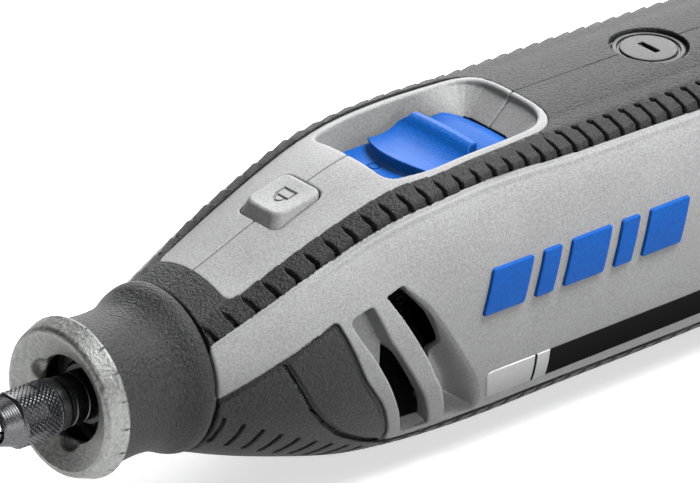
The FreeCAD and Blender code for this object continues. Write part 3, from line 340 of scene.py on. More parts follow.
def thinned(name, point, quads):
    """Points and triangles of a net, with the flat stretches merged until it is small enough."""
    piece = mesh_object(name + ".dense", point, quads)
    ratio = MOST_TRIANGLES / (2 * len(quads))
    piece.modifiers.new("thin", "DECIMATE").ratio = ratio
    piece.modifiers["thin"].use_collapse_triangulate = True
    shaped = piece.evaluated_get(bpy.context.evaluated_depsgraph_get())
    mesh = bpy.data.meshes.new_from_object(shaped)
    point = np.zeros(len(mesh.vertices) * 3, np.float32)
    mesh.vertices.foreach_get("co", point)
    faces = np.zeros(len(mesh.polygons) * 3, np.int32)
    mesh.polygons.foreach_get("vertices", faces)
    bpy.data.objects.remove(piece)
    return point.reshape(-1, 3).astype(float) / MM, faces.reshape(-1, 3)


def carve(name, field, low, high, pitch):
    """The piece whose surface is the field's zero level, found between two corners."""
    point, faces = surface_net(field, low, high, pitch)
    if 2 * len(faces) > MOST_TRIANGLES:
        point, faces = thinned(name, point, faces)
    for _ in range(2):
        slope = slope_of(field, point, STEP_REACH * pitch)
        size = np.maximum((slope ** 2).sum(1), 0.25)
        step = slope * (field(*point.T) / size)[:, None]
        length = np.linalg.norm(step, axis=1, keepdims=True)
        point -= step * np.minimum(1.0, STEP_MOST * pitch / np.maximum(length, 1e-9))
    normal = slope_of(field, point, NORMAL_REACH * pitch)
    normal /= np.maximum(np.linalg.norm(normal, axis=1, keepdims=True), 1e-9)
    return mesh_object(name, point, faces, normal)


# ---- the housing's form

# The CAD housing's sections: station, top, bottom, half width, roundness above and below.
# A roundness of 2 is an ellipse, and a larger one is squarer.
SECTIONS = [
    (38.0, 14.3, 15.6, 15.0, 2.0, 2.0),
    (46.0, 16.9, 18.6, 18.2, 2.05, 2.05),
    (57.0, 21.1, 22.0, 21.9, 2.1, 2.1),
    (68.0, 25.0, 24.5, 23.8, 2.25, 2.3),
    (79.0, 27.8, 25.5, 24.4, 2.55, 2.5),
    (90.0, 28.6, 26.0, 24.6, 2.85, 2.6),
    (120.0, 28.6, 26.0, 24.6, 2.85, 2.65),
    (150.0, 28.4, 26.0, 24.4, 2.85, 2.65),
    (180.0, 27.6, 25.4, 23.8, 2.8, 2.6),
    (203.0, 26.2, 24.2, 22.7, 2.7, 2.6),
    (214.0, 24.8, 22.9, 21.4, 2.6, 2.6),
]
TAIL_SECTIONS = [
    SECTIONS[-1],
    (219.5, 21.5, 20.0, 18.6, 2.5, 2.5),
    (223.0, 15.5, 15.0, 14.5, 2.3, 2.3),
]
GRIP_DEPTH = 1.4
WALL = 3.0
SEAM = 0.1


class Form:
    """A long body whose sections are rounded rectangles; calling it gives the distance to its skin."""

    def __init__(self, sections):
        station, *columns = zip(*sections)
        self.curves = [Curve(list(zip(station, column))) for column in columns]

    def __call__(self, x, y, z):
        top, bottom, half, upper, lower = (curve(x) for curve in self.curves)
        above = z > 0
        power = np.where(above, upper, lower)
        across = most(np.abs(y) / half, 1e-3)
        height = np.where(above, top, bottom)
        along = most(np.abs(z) / height, 1e-3)
        gauge = (across ** power + along ** power) ** (1 / power)
        rise = gauge ** (1 - power) * np.hypot(across ** (power - 1) / half, along ** (power - 1) / height)
        return (gauge - 1) / rise

    def top_at(self, x, side):
        """Height of the skin above the point (x, side), where side is |y|."""
        top, _, half, upper, _ = (curve(x) for curve in self.curves)
        return top * most(1 - (side / half) ** upper, 0.0) ** (1 / upper)


skin = Form(SECTIONS)
tail_skin = Form(TAIL_SECTIONS)
FRONT, REAR = SECTIONS[0][0], SECTIONS[-1][0]

# Where the materials meet. On top the outlines are (x, |y|), and on the sides (x, z).
strip_edge = Curve([(38, 12.0), (52, 13.8), (68, 15.0), (84, 16.6), (100, 17.0), (150, 17.3),
                    (203, 15.8), (214, 14.8)])
strip_rise = Curve([(x, float(skin.top_at(np.array(x), strip_edge(x)))) for x in range(38, 215, 8)])
panel = Outline([(44.2, -6.0, 0.1), (44.2, 9.2, 2.0), (56, 10.4), (70, 11.4), (80, 12.2), (88, 13.6, 3.0),
                 (104, 13.4, 4.0), (118.5, 12.3, 10.8), (118.5, -6.0, 0.1)])
pocket = Outline([(80.4, -6.0, 0.1), (80.4, 9.4, 2.2), (88, 11.0, 3.0), (104, 10.8, 4.0),
                  (116.6, 9.9, 9.2), (116.6, -6.0, 0.1)])
belly = Outline([(30, -4.2, 0.1), (38, -0.5), (48.9, 4.7), (59.8, 9.9, 0.9), (64.6, -1.7, 2.5),
                 (69.2, -8.0, 2.5), (72.8, -15.0, 1.5), (73.8, -18.4, 1.5), (82, -18.3), (92, -17.8),
                 (105, -17.5), (150, -18.0), (203, -16.8), (222, -15.8, 0.1), (222, -40, 0.1),
                 (30, -40, 0.1)], pitch=0.2)
pad = Outline([(48.9, 4.7), (51.2, 0.2), (54.4, -5.4), (57.6, -9.2), (62.0, -13.1), (68.0, -16.5),
               (75.5, -19.6), (74.2, -19.0), (72.8, -15.0, 1.5), (69.2, -8.0, 2.5), (64.6, -1.7, 2.5),
               (59.8, 9.9, 0.9)], radius=1.2)

# How many ribs of the upper grip lie in front of a station.
rib_count = Curve([(35.5, -1.0), (68.3, 7.0), (94.8, 14.0), (213.0, 45.2)])

# The air intakes. Through the first one a ledge shows, which ends at LEDGE_EDGE, and the
# second one turns into a blind dish towards the belly.
intake_one = Outline([(62.0, 9.3, 1.4), (66.7, 11.0, 0.5), (69.5, 4.4), (74.0, -2.4), (78.5, -9.3),
                      (82.2, -16.6, 0.6), (76.2, -16.9, 1.0), (73.4, -10.9, 2.0), (70.0, -4.3), (66.8, 1.2),
                      (63.8, 5.8)])
intake_two = Outline([(69.8, 12.0, 0.4), (73.2, 13.2, 0.4), (78.0, 8.6), (83.8, 0.2), (89.3, -8.1),
                      (92.0, -13.2, 2.0), (93.0, -16.9, 2.2), (85.3, -16.9, 0.6), (84.9, -15.0), (82.4, -9.0),
                      (78.4, -1.8), (73.7, 5.8)])
duct_two = Outline([(69.8, 12.0, 0.4), (73.2, 13.2, 0.4), (79.0, 6.5), (82.6, -0.2, 0.5),
                    (83.0, -7.0, 0.8), (80.6, -6.2, 0.5), (78.4, -1.8), (73.7, 5.8)])
basin = Outline([(50, 40, 0.1), (50, -17.2, 0.1), (93.2, -17.2, 3.0), (92.0, -13.2), (89.3, -8.1),
                 (83.8, 0.2), (78.0, 8.6), (73.4, 13.2), (62.0, 40, 0.1)], pitch=0.2)
LEDGE_EDGE = 70.7
LEDGE_DEPTH = 4.0
LEDGE_STEEPNESS = 1.3
DISH_DEPTH = 5.2
DISH_STEEPNESS = 1.5
INTAKE_SILL = -17.6 + 3.0
BACKING = 1.8  # nylon left behind the dish and the ledge

# The crease below the ribbed strip, each as (rise, how far below the strip, width).
CREST = (0.18, 1.9, 1.1)
VALLEY = (-0.30, 0.5, 1.2)
BEAD = (0.25, 0.5, 0.6)
BEAD_END = (52.0, 66.0)


def grip_strip(x, y, z):
    """Distance to the region of the two upper grips, before their thickness."""
    side = np.abs(y)
    region = most(side - strip_edge(x), -panel(x, side))
    return most(region, -z)


def shoulder(x, y, z):
    """How far up the surface a point lies above the upper grip's lower edge."""
    return 0.8 * ((strip_edge(x) - np.abs(y)) + (z - strip_rise(x)))


def form_with_crease(x, y, z):
    """The skin, with a soft crest along the grey side just below the ribbed strip."""
    below = -shoulder(x, y, z)
    crest, valley, bead = (rise * ridge(below - place, width) for rise, place, width in (CREST, VALLEY, BEAD))
    fade = step_up(x, *BEAD_END)
    return skin(x, y, z) - ((crest + valley) * fade + bead * (1 - fade)) * (z > 0)


def basin_depth(x, z):
    """How far the bottom of the intakes has sunk in, from 0 at their edge to 1."""
    return step_up(-basin(x, z), -0.3, 3.2)


def intakes(outer, x, z):
    """Distance to the air that the two intakes take out of one side."""
    one, two = intake_one(x, z), intake_two(x, z)
    depth = basin_depth(x, z)
    ledge = most(one, -(outer + LEDGE_DEPTH * depth) / LEDGE_STEEPNESS)
    dish = most(two, -(outer + DISH_DEPTH * depth) / DISH_STEEPNESS)
    through = most(one, LEDGE_EDGE - x, INTAKE_SILL - z)
    return least(ledge, dish, through, duct_two(x, z))


low_button, high_button = node_box("lock_button")
cap_low, cap_high = node_box("brush_cap_upper")
BRUSH_X = (cap_low[0] + cap_high[0]) / 2
BRUSH_R = (cap_high[0] - cap_low[0]) / 2
BRUSH_TOP = cap_high[2]
BRUSH_BOTTOM = node_box("brush_cap_lower")[0][2]
dial_low, dial_high = node_box("speed_dial")
DIAL_X = (dial_low[0] + dial_high[0]) / 2
DIAL_R = (dial_high[0] - dial_low[0]) / 2
DIAL_Z = dial_high[2] - DIAL_R
ABOVE = 40.0  # higher than anything on the tool
WELL_GAP = 0.35
WELL_DEPTH = 8.0
DIAL_SLOT = (9.4, 2.9, 8.0)  # half its length, half its width, and the height of its floor

# The pocket's walls flare a little, and its rear wall slopes from the rim down to the switch's
# plate, which slides into a slot under the slope.
POCKET_FLOOR = node_box("switch_slider")[0][2] - 0.1
POCKET_RIM = 27.2
POCKET_SKIN = 2.0
POCKET_FLARE = 0.11
SLOPE = 0.95
SLOPE_START, SLOPE_FULL = 104.0, 113.0
SLOPE_FOOT = POCKET_FLOOR + 2.1
PLATE_SLOT = (100.0, 117.3, 10.2)  # front, rear and half width
SCREWS = [(55.5, -15.5), (76.5, 16.0), (161.5, 14.5), (161.5, -18.2), (206.0, -14.0)]
SCREW_WELL_R = 3.2


def openings(x, y, z, outer):
    """Distance to the wells and slots that both the housing and its grips leave open."""
    brush_well = rod(x - BRUSH_X, y, BRUSH_R + WELL_GAP)
    well = most(brush_well, least(BRUSH_TOP - WELL_DEPTH - z, z - BRUSH_BOTTOM - WELL_DEPTH))
    half_length, half_width, slot_floor = DIAL_SLOT
    slot = block(x, y, z, (DIAL_X - half_length, -half_width, slot_floor),
                 (DIAL_X + half_length, half_width, ABOVE), 0.8)
    well = least(well, slot)
    for screw_x, screw_z in SCREWS:
        well = least(well, most(rod(x - screw_x, z - screw_z, SCREW_WELL_R), 6.0 - y))
    return well


def housing(side):
    """Half of the grey nylon clamshell: side is -1 for the left half and 1 for the right."""

    def field(x, y, z):
        plain = skin(x, y, z)
        outer = form_with_crease(x, y, z)
        across = np.abs(y)
        upper = most(grip_strip(x, y, z), -(plain + GRIP_DEPTH))
        lower = most(belly(x, z), -(plain + GRIP_DEPTH))
        solid = without(outer, least(upper, lower), 0.25)
        solid = both(solid, slab(x, FRONT, REAR), 0.5)
        blind = least(most(intake_one(x, z), x - LEDGE_EDGE), most(intake_two(x, z), -duct_two(x, z)))
        backing = DISH_DEPTH * basin_depth(x, z) + BACKING - WALL
        thick = WALL + most(backing, 0.0) * (1 - step_up(blind, 0.3, 1.5)) * (across > 8)
        tub = most(pocket(x, across) - POCKET_SKIN, POCKET_FLOOR - POCKET_SKIN - z)
        cavity = most(plain + thick, -tub)
        solid = most(solid, -cavity)
        solid = without(solid, intakes(plain, x, z), 0.5)
        flare = pocket(x, across) - POCKET_FLARE * (z - POCKET_FLOOR)
        rise = SLOPE * step_up(x, SLOPE_START, SLOPE_FULL)
        sloped = 0.7 * (flare + rise * most(POCKET_RIM - z, 0.0))
        foot = most(flare, z - SLOPE_FOOT - 0.4, POCKET_FLOOR - z)
        solid = without(solid, least(most(sloped, SLOPE_FOOT - z), foot), 0.6)
        front, rear, half = PLATE_SLOT
        under = block(x, y, z, (front, -half, POCKET_FLOOR), (rear, half, SLOPE_FOOT), 0.2)
        solid = most(solid, -under)
        hole = block(x, y, z, (BUTTON_FRONT - 0.25, -BUTTON_HALF - 0.25, 10.0),
                     (BUTTON_REAR + 0.3, BUTTON_HALF + 0.25, ABOVE), 2.0)
        solid = without(solid, least(hole, openings(x, y, z, plain)), 0.3)
        return both(solid, SEAM - side * y, 0.3)

    return field


panel_half = Curve([(44, 9.2), (56, 10.4), (70, 11.4), (80, 12.2), (88, 13.4), (109, 13.4),
                    (114.5, 12.6)])
panel_rise = Curve([(x, float(skin.top_at(np.array(x), panel_half(x)) - strip_rise(x)))
                    for x in range(38, 118, 8)])
RIB_RISE = 0.6
RIB_TILT = 0.55
RIB_REACH = 4.6
RIB_LEAN = 1.25
GROOVE_HALF = 0.52
GROOVE_DEPTH = 1.1
HOOK_R = 0.55
PAD_START, PAD_FULL = 113.0, 117.0  # where the grip widens into the smooth rear pad
NOWHERE = 9.0  # a distance that never counts as near


def rib_grooves(x, y, z):
    """Distance to the grooves across the upper grip, and the tilt of the blocks between them."""
    reach = shoulder(x, y, z)
    behind = step_up(x, PAD_START, PAD_FULL)
    edge = np.where(x < PAD_START, 0.8 * ((strip_edge(x) - panel_half(x)) + panel_rise(x)), RIB_REACH)
    lean = RIB_LEAN * np.clip(reach / RIB_REACH, -0.2, 1.2)
    count = rib_count(x + lean)
    part = count - np.round(count)
    pitch = np.where(x < 70.0, 4.1, 3.8)
    point = 1 - step_up(reach, edge - 2.4, edge - 0.2)
    half = GROOVE_HALF * (behind + (1 - behind) * point)
    groove = np.abs(part) * pitch - half
    groove = most(groove, reach - edge + 0.15)
    hook = rod(part * pitch + 0.45, reach - edge + 0.35, HOOK_R)
    groove = least(groove, np.where(behind > 0.5, hook, NOWHERE))
    return groove, RIB_TILT * (0.5 - (count - np.floor(count))) * step_up(edge + 0.6 - reach, 0.0, 1.0)


def upper_grip(side):
    """The soft strip with its ribs, and the smooth pad that it widens into behind the switch."""

    def field(x, y, z):
        plain = skin(x, y, z)
        groove, tilt = rib_grooves(x, y, z)
        region = grip_strip(x, y, z) + 0.02
        fade = step_up(shoulder(x, y, z), RIB_REACH, RIB_REACH + 4.0)
        raised = RIB_RISE * step_up(x, 46.0, 58.0) * (1 - fade)
        solid = both(plain + 0.05 + tilt - raised, region, 0.3)
        solid = most(solid, -(plain + GRIP_DEPTH))
        cut = most(groove, -(plain + GROOVE_DEPTH))
        solid = without(solid, cut, 0.3)
        solid = both(solid, slab(x, FRONT + 0.2, REAR), 0.4)
        solid = without(solid, openings(x, y, z, plain), 0.3)
        return both(solid, -side * y + 0.02, 0.15)

    return field


BELLY_SLOTS = 9
BELLY_SLOT_HALF = 0.42
PAD_BORDER = 0.45  # how far the belly's edge lies below the skin
KEEL_FRONT = 76.0
KEEL_PITCH = 3.75


def belly_slots(x, z):
    """Distance to the short slanted grooves low on the front of the belly."""
    nearest = np.full(np.shape(x), NOWHERE)
    for i in range(BELLY_SLOTS):
        top = (39.7 + 3.75 * i, -4.9 - 2.0 * i + 0.03 * i * i)
        bottom = (39.3 + 3.5 * i, -10.0 - 1.62 * i + 0.03 * i * i)
        nearest = least(nearest, segment(x, z, top, bottom) - BELLY_SLOT_HALF)
    return nearest


def lower_grip(side):
    """The soft belly, with the raised thumb pad in front of the air intakes."""

    def field(x, y, z):
        plain = skin(x, y, z)
        region = belly(x, z) + 0.02
        in_pad = pad(x, z)
        border = PAD_BORDER * step_up(np.where(in_pad < 0, in_pad, region), -1.15, -0.85)
        solid = both(plain + 0.1 + border, region, 0.35)
        solid = most(solid, -(plain + GRIP_DEPTH))
        gap = np.abs(in_pad + 0.25) - 0.33
        near_gap = most(gap, region + 0.9, -(plain + 1.15))
        cut = least(near_gap, most(belly_slots(x, z), -(plain + 0.95)))
        part = (x - KEEL_FRONT) / KEEL_PITCH
        keel = np.abs(part - np.round(part)) * KEEL_PITCH - 0.45
        keel = most(keel, region + 1.3, KEEL_FRONT - 1 - x, -(plain + 0.7))
        cut = least(cut, keel)
        solid = without(solid, cut, 0.3)
        solid = both(solid, slab(x, FRONT + 0.5, REAR), 0.5)
        solid = without(solid, openings(x, y, z, plain), 0.3)
        return both(solid, -side * y + 0.02, 0.15)

    return field


# ---- nose

cap_box = node_box("nose_cap")
ring_box = node_box("wrench_ring")
nut_box = node_box("collet_nut")
RING_FRONT, RING_REAR = ring_box[0][0], ring_box[1][0]
CAP_REAR = cap_box[1][0]
CAP_LIP = cap_box[1][2]
CAP_WAIST = CAP_LIP - 2.3
CAP_BORE = 11.2
RING_HOLE = 7.8
RING_DISH = 2.6
RING_FLAT_R = 12.2
RING_FRONT_R = 13.2
SCALLOP_AT = 6.4
SCALLOP_R = 3.0
cap_profile = Curve([(RING_REAR - 1, CAP_WAIST + 0.9), (RING_REAR + 0.8, CAP_WAIST + 0.55),
                     (23.5, CAP_WAIST + 0.1), (27.5, CAP_WAIST), (30.5, CAP_WAIST + 0.35),
                     (33.0, CAP_WAIST + 1.25), (34.6, CAP_WAIST + 2.0), (35.6, CAP_LIP), (38.5, CAP_LIP)])


def nose_cap(x, y, z):
    """The waisted rubber sleeve that screws onto the nose."""
    radius = np.hypot(y, z)
    solid = both(radius - cap_profile(x), slab(x, RING_REAR, CAP_REAR), 0.5)
    return without(solid, radius - CAP_BORE, 0.2)


RING_NOTCHES = 18
NOTCH_HALF = 0.16
NOTCH_FROM = 14.0
RING_SCALLOPS = (22.0, -96.0)


def wrench_ring(x, y, z):
    """A cast ring: a notched conical rim, a dished face, and two scallops by its hole."""
    radius, angle = np.hypot(y, z), np.arctan2(z, y)
    taper = (ring_box[1][2] - 0.1 - RING_FRONT_R) / (RING_REAR - RING_FRONT)
    dished = RING_FRONT + RING_DISH * np.clip((RING_FLAT_R - radius) / (RING_FLAT_R - RING_HOLE), 0.0, 1.0)
    solid = both((radius - RING_FRONT_R - taper * (x - RING_FRONT)) * 0.9,
                 most((dished - x) * 0.86, x - RING_REAR), 0.8)
    solid = without(solid, radius - RING_HOLE, 0.3)
    part = angle * RING_NOTCHES / (2 * math.pi)
    part = (part - np.round(part)) * 2 * math.pi / RING_NOTCHES * radius
    notch = most(np.abs(part) - NOTCH_HALF, NOTCH_FROM - radius)
    solid = without(solid, most(notch, RING_REAR - 1.9 - x), 0.12)
    for turn in RING_SCALLOPS:
        centre_y = SCALLOP_AT * math.cos(math.radians(turn))
        centre_z = SCALLOP_AT * math.sin(math.radians(turn))
        bowl = np.sqrt((x - RING_FRONT - 1.0) ** 2 + (y - centre_y) ** 2 + (z - centre_z) ** 2) - SCALLOP_R
        solid = without(solid, bowl, 0.3)
    return solid


NUT_R = 5.05
NUT_FLATS = 6
FLAT_AT = 4.72
KNURL = 34
KNURL_DEPTH = 0.42
TURNED_DEPTH = 0.012
TURNED_PITCH = 0.42


def collet_nut(x, y, z):
    """A blackened nut: turned cone, diamond knurl with six worn flats, turned collar behind."""
    radius, angle = np.hypot(y, z), np.arctan2(z, y)
    edge = np.interp(x, [0.4, 0.9, 3.9, 4.5, 12.1, 12.5, 15], [3.15, 3.5, 4.42, NUT_R, NUT_R, 4.7, 4.7])
    turned = TURNED_DEPTH * np.sin(x * 2 * math.pi / TURNED_PITCH) * ((x < 4.0) | (x > 12.2))
    lead = x / NUT_R
    cut_a = np.abs(np.sin((angle + lead) * KNURL / 2))
    cut_b = np.abs(np.sin((angle - lead) * KNURL / 2))
    knurl = KNURL_DEPTH * (1 - least(least(cut_a, cut_b) * 1.5, 1.0))
    knurl = knurl * step_up(x, 4.3, 4.8) * (1 - step_up(x, 11.6, 12.1))
    ends = slab(x, nut_box[0][0], nut_box[1][0])
    solid = both((radius - edge + knurl + turned) * 0.75, ends, 0.25)
    sector = 2 * math.pi / NUT_FLATS
    local = (angle + math.pi / 2 + sector / 2) % sector - sector / 2
    flat = most(FLAT_AT - radius * np.cos(local), slab(x, 3.9, 9.4))
    solid = without(solid, flat, 0.15)
    bore = np.where(x < 5.6, 3.1, 3.55)
    return most(solid, bore - radius)


# ---- controls

slider_low, slider_high = node_box("switch_slider")
slider_top = Curve([(86, 24.6), (90.2, 24.55), (92, 24.1), (95, 23.8), (97.5, 24.15), (99.4, 25.0),
                    (100.9, 26.3), (101.6, 26.6)])
tail_top = Curve([(101, 23.4), (104, 23.45), (107, 24.0), (110, 24.1), (112, 23.4), (113.6, 22.4),
                  (116, 22.0)])
RIDGE_REAR = 102.9
THUMB_HALF = 9.2
TAIL_HALF = 9.4
PLATE_HALF = 9.9
PLATE_THICK = 1.7
SWITCH_MARK = (88.1, 2.4, 1.1, 0.16)  # centre, radius and half the stroke of the engraved ring


def switch_slider(x, y, z):
    """The sliding switch: a dished thumb pad that climbs to a ridge, a low tail, a base plate."""
    across = np.abs(y)
    front = 89.4 + 0.033 * y ** 2 - 0.5 * (z - 24.0)
    thumb = both((z - slider_top(x) + 0.004 * y * y) * 0.9, most(front - x, x - RIDGE_REAR), 0.5)
    thumb = both(thumb, across - THUMB_HALF + 1.3 * step_up(x, 99.5, 101.0), 0.4)
    tail = both((z - tail_top(x) + 0.006 * y * y) * 0.85, most(101.0 - x, across - TAIL_HALF), 1.2)
    plate = block(x, y, z, (slider_low[0], -PLATE_HALF, slider_low[2]),
                  (slider_high[0], PLATE_HALF, slider_low[2] + PLATE_THICK), 0.3)
    solid = softly(softly(thumb, tail, 0.4), plate, 0.5)
    solid = most(solid, slider_low[2] - z, x - slider_high[0])
    mark_x, mark_y, mark_r, stroke = SWITCH_MARK
    mark = np.abs(rod(x - mark_x, y - mark_y, mark_r)) - stroke
    return without(solid, most(mark, np.abs(z - slider_low[2] - 1.8) - 0.4), 0.1)


BUTTON_FRONT, BUTTON_REAR = low_button[0] + 1.3, high_button[0] - 1.2
BUTTON_HALF = 4.9
BUTTON_MID = (BUTTON_FRONT + BUTTON_REAR) / 2
BUTTON_TOP = high_button[2]
BUTTON_SLOPE = 0.2


def padlock(u, v):
    """Distance to a plain padlock outline, drawn about the origin with its shackle towards +u."""
    body = np.abs(most(np.abs(u + 1.0) - 1.0, np.abs(v) - 1.5))
    shackle = most(np.abs(rod(u - 0.5, v, 0.95)), 0.4 - u)
    legs = most(np.abs(np.abs(v) - 0.95), slab(u, 0.0, 0.5))
    return least(body, shackle, legs)


def lock_button(x, y, z):
    """The shaft lock's push button, with a plain padlock cut into its dished top."""
    top = BUTTON_TOP - BUTTON_SLOPE * (BUTTON_REAR - x)
    dish = 0.3 * np.clip(1 - ((x - BUTTON_MID) / 4.6) ** 2, 0, 1) * np.clip(1 - (y / 4.0) ** 2, 0, 1)
    proud = np.clip(z - skin.top_at(x, np.abs(y)) + 0.4, 0.0, 4.0)
    lean_x = np.clip((BUTTON_MID - x) / 2.5, 0.0, 1.0) * 0.55 * proud
    lean_y = 0.27 * proud
    walls = block(x - lean_x, np.abs(y) + lean_y, 0 * z, (BUTTON_FRONT, -BUTTON_HALF, -9.0),
                  (BUTTON_REAR, BUTTON_HALF, 9.0), 1.8)
    solid = both(walls * 0.85, (z - top + dish) * 0.95, 0.5)
    solid = most(solid, 14.6 - z)
    flange = block(x, y, z, low_button, (high_button[0], high_button[1], low_button[2] + 1.6), 0.4)
    icon = most(padlock(BUTTON_MID - x + 0.3, y) - 0.22, top - dish - 0.5 - z)
    return without(least(solid, flange), icon, 0.1)


def brush_cap(side):
    """A screw cap over one motor brush, with a coin slot."""

    def field(x, y, z):
        height = side * z
        face = BRUSH_TOP if side > 0 else -BRUSH_BOTTOM
        radius = np.hypot(x - BRUSH_X, y)
        ends = most(height - face + 0.004 * radius ** 2, face - 2.0 - height)
        head = both(radius - BRUSH_R, ends, 0.5)
        rim = most(np.abs(radius - 5.5) - 0.25, face - 0.5 - height)
        slot = block(x - BRUSH_X, y, height, (-0.6, -2.3, face - 1.2), (0.6, 2.3, face + 2), 0.15)
        head = without(head, least(rim, slot), 0.2)
        shank = most(radius - 4.6, 22.0 - height, height - face + 1.0)
        return least(head, shank)

    return field


DIAL_TEETH = 36
DIAL_TOOTH = 0.28
DIAL_HALF = 2.6


def speed_dial(x, y, z):
    """The speed wheel, with a scalloped edge and its axle."""
    u, v = x - DIAL_X, z - DIAL_Z
    radius, angle = np.hypot(u, v), np.arctan2(v, u)
    wave = DIAL_TOOTH * (0.5 - 0.5 * np.cos(angle * DIAL_TEETH))
    wheel = both(radius - DIAL_R + wave, np.abs(y) - DIAL_HALF, 0.5)
    web = most(radius - 6.2, 1.7 - np.abs(y))
    wheel = without(wheel, web, 0.4)
    axle = most(radius - 1.45, slab(y, dial_low[1], dial_high[1]))
    return least(wheel, axle)


# ---- trim and tail

BADGE_LOW, BADGE_HIGH, BADGE_LEAN = 3.3, 11.5, 2.4
BADGE_BARS = (9.5, 4.2, 9.5, 4.2, 9.5)
BADGE_START = 90.0
BADGE_SPACE = 2.6
BADGE_PROUD = 0.68
BAND_PROUD = 0.14


def badge_outlines():
    """Five slanted bars in a row, wide and narrow by turns."""
    start = BADGE_START
    bars = []
    for width in BADGE_BARS:
        low_side = [(start, BADGE_LOW), (start + width, BADGE_LOW)]
        high_side = [(u + BADGE_LEAN, BADGE_HIGH) for u, _ in reversed(low_side)]
        bars.append(Outline(low_side + high_side, 0.5, 2.0))
        start += width + BADGE_SPACE
    return bars


badge_bars = badge_outlines()
band_outline = Outline([(92.3, -8.9, 1.6), (196.0, -8.7, 1.0), (193.5, -14.4, 1.0),
                        (94.2, -15.0, 0.5)], margin=3.0, pitch=0.15)


def side_badge(side):
    """Plain slanted bars that stand proud of the side."""

    def field(x, y, z):
        bars = least(*(bar(x, z) for bar in badge_bars))
        outer = skin(x, y, z)
        solid = both(bars, outer - BADGE_PROUD, 0.25)
        return most(solid, -outer - 0.3, -side * y)

    return field


def side_band(side):
    """The long printed film, low on the side."""

    def field(x, y, z):
        outer = skin(x, y, z)
        solid = both(band_outline(x, z), outer - BAND_PROUD, 0.08)
        return most(solid, -outer - 0.25, -side * y)

    return field


TAIL_SLOTS = 5
TAIL_END = 223.0
HOOK_X, HOOK_Z = 225.3, 12.5  # axis of the hanging loop


def rear_cap(x, y, z):
    """The tail cap, with cooling slots, the cord gland's hole and the lug of the hanging loop."""
    outer = tail_skin(least(x, TAIL_END), y, z)
    solid = both(outer, slab(x, REAR, TAIL_END), 1.2)
    inner = most(outer + WALL, x - 220.0)
    solid = most(solid, -inner)
    lug = block(x, y, z, (220.5, -6.0, 10.3), (HOOK_X, 6.0, 14.7), 0.4)
    eye = most(rod(x - HOOK_X, z - HOOK_Z, 2.2), np.abs(y) - 6.0)
    solid = softly(solid, least(lug, eye), 0.6)
    for row in range(TAIL_SLOTS):
        centre = -8.1 + 3.6 * row
        slot = block(x, np.abs(y), z, (205, 7.5, centre - 0.9), (240, 16.5, centre + 0.9), 0.8)
        solid = without(solid, slot, 0.3)
    solid = without(solid, most(rod(y, z, 6.05), 205 - x), 0.3)
    return most(solid, -rod(x - HOOK_X, z - HOOK_Z, 1.06))


def cord_gland(x, y, z):
    """The empty cable gland: a flanged collar with a rounded mouth and three grip rings."""
    radius = np.hypot(y, z)
    ribs = 0.25 * (0.5 - 0.5 * np.cos((x - 223.0) * 2 * math.pi / 1.2)) * (x > 223.2)
    taper = np.interp(x, [223.0, 226.5], [6.0, 5.0])
    sleeve = both(radius - taper + ribs, slab(x, 217.0, 226.5), 0.5)
    flange = most(radius - 7.2, slab(x, 215.5, 217.0))
    return without(least(sleeve, flange), radius - 3.3, 0.6)


# ---- materials

def add_node(tree, kind, inputs=None, **settings):
    """A new shader node's outputs, with its settings made and each input linked or set."""
    made = tree.nodes.new("ShaderNode" + kind)
    for name, value in settings.items():
        setattr(made, name, value)
    for socket, value in (inputs or {}).items():
        if isinstance(value, bpy.types.NodeSocket):
            tree.links.new(value, made.inputs[socket])
        else:
            made.inputs[socket].default_value = value
    return made.outputs


class Shader:
    """A Principled material and a short way to add nodes that read the piece's own place."""

    def __init__(self, name, color, rough, metallic=0.0, **sockets):
        self.material = bpy.data.materials.new(name)
        self.material.use_nodes = True
        self.tree = self.material.node_tree
        self.surface = self.tree.nodes["Principled BSDF"].inputs
        self.surface["Base Color"].default_value = (*color, 1)
        self.surface["Roughness"].default_value = rough
        self.surface["Metallic"].default_value = metallic
        for socket, value in sockets.items():
            self.surface[socket.replace("_", " ")].default_value = value
        self.place = add_node(self.tree, "TexCoord")["Object"]

    def drive(self, socket, source):
        """Let a node's output set one of the surface's inputs."""
        self.tree.links.new(source, self.surface[socket])

    def noise(self, grain, detail=3.0, rough=0.55, stretch=None):
        """Noise whose features are about grain millimetres across."""
        place = self.place
        if stretch:
            place = add_node(self.tree, "Mapping", {"Vector": place, "Scale": stretch})["Vector"]
        return add_node(self.tree, "TexNoise", {"Vector": place, "Scale": 1 / (grain * MM),
                                                "Detail": detail, "Roughness": rough})["Fac"]

    def cells(self, grain):
        """Rounded cells about grain millimetres across."""
        return add_node(self.tree, "TexVoronoi", {"Vector": self.place, "Scale": 1 / (grain * MM)},
                        feature="SMOOTH_F1")["Distance"]

    def spread(self, source, low, high, start=0.3, end=0.7):
        """The source's range start..end, stretched to low..high."""
        return add_node(self.tree, "MapRange", {"Value": source, "From Min": start, "From Max": end,
                                                "To Min": low, "To Max": high})["Result"]

    def maths(self, operation, a, b):
        return add_node(self.tree, "Math", {0: a, 1: b}, operation=operation)[0]

    def tint(self, factor, dark, light):
        """Base colour from dark to light along a 0..1 factor."""
        mix = add_node(self.tree, "Mix", {"Factor": factor, "A": (*dark, 1), "B": (*light, 1)},
                       data_type="RGBA")
        self.drive("Base Color", mix["Result"])

    def speckle(self, factor, color, share):
        """Base colour that leaves color by a share of it, both ways, along a 0..1 factor."""
        self.tint(factor, [c * (1 - share) for c in color], [min(c * (1 + share), 1.0) for c in color])

    def bump(self, height, depth):
        """Relief about depth millimetres deep."""
        relief = add_node(self.tree, "Bump", {"Height": height, "Distance": depth * MM, "Strength": 1.0})
        self.drive("Normal", relief["Normal"])


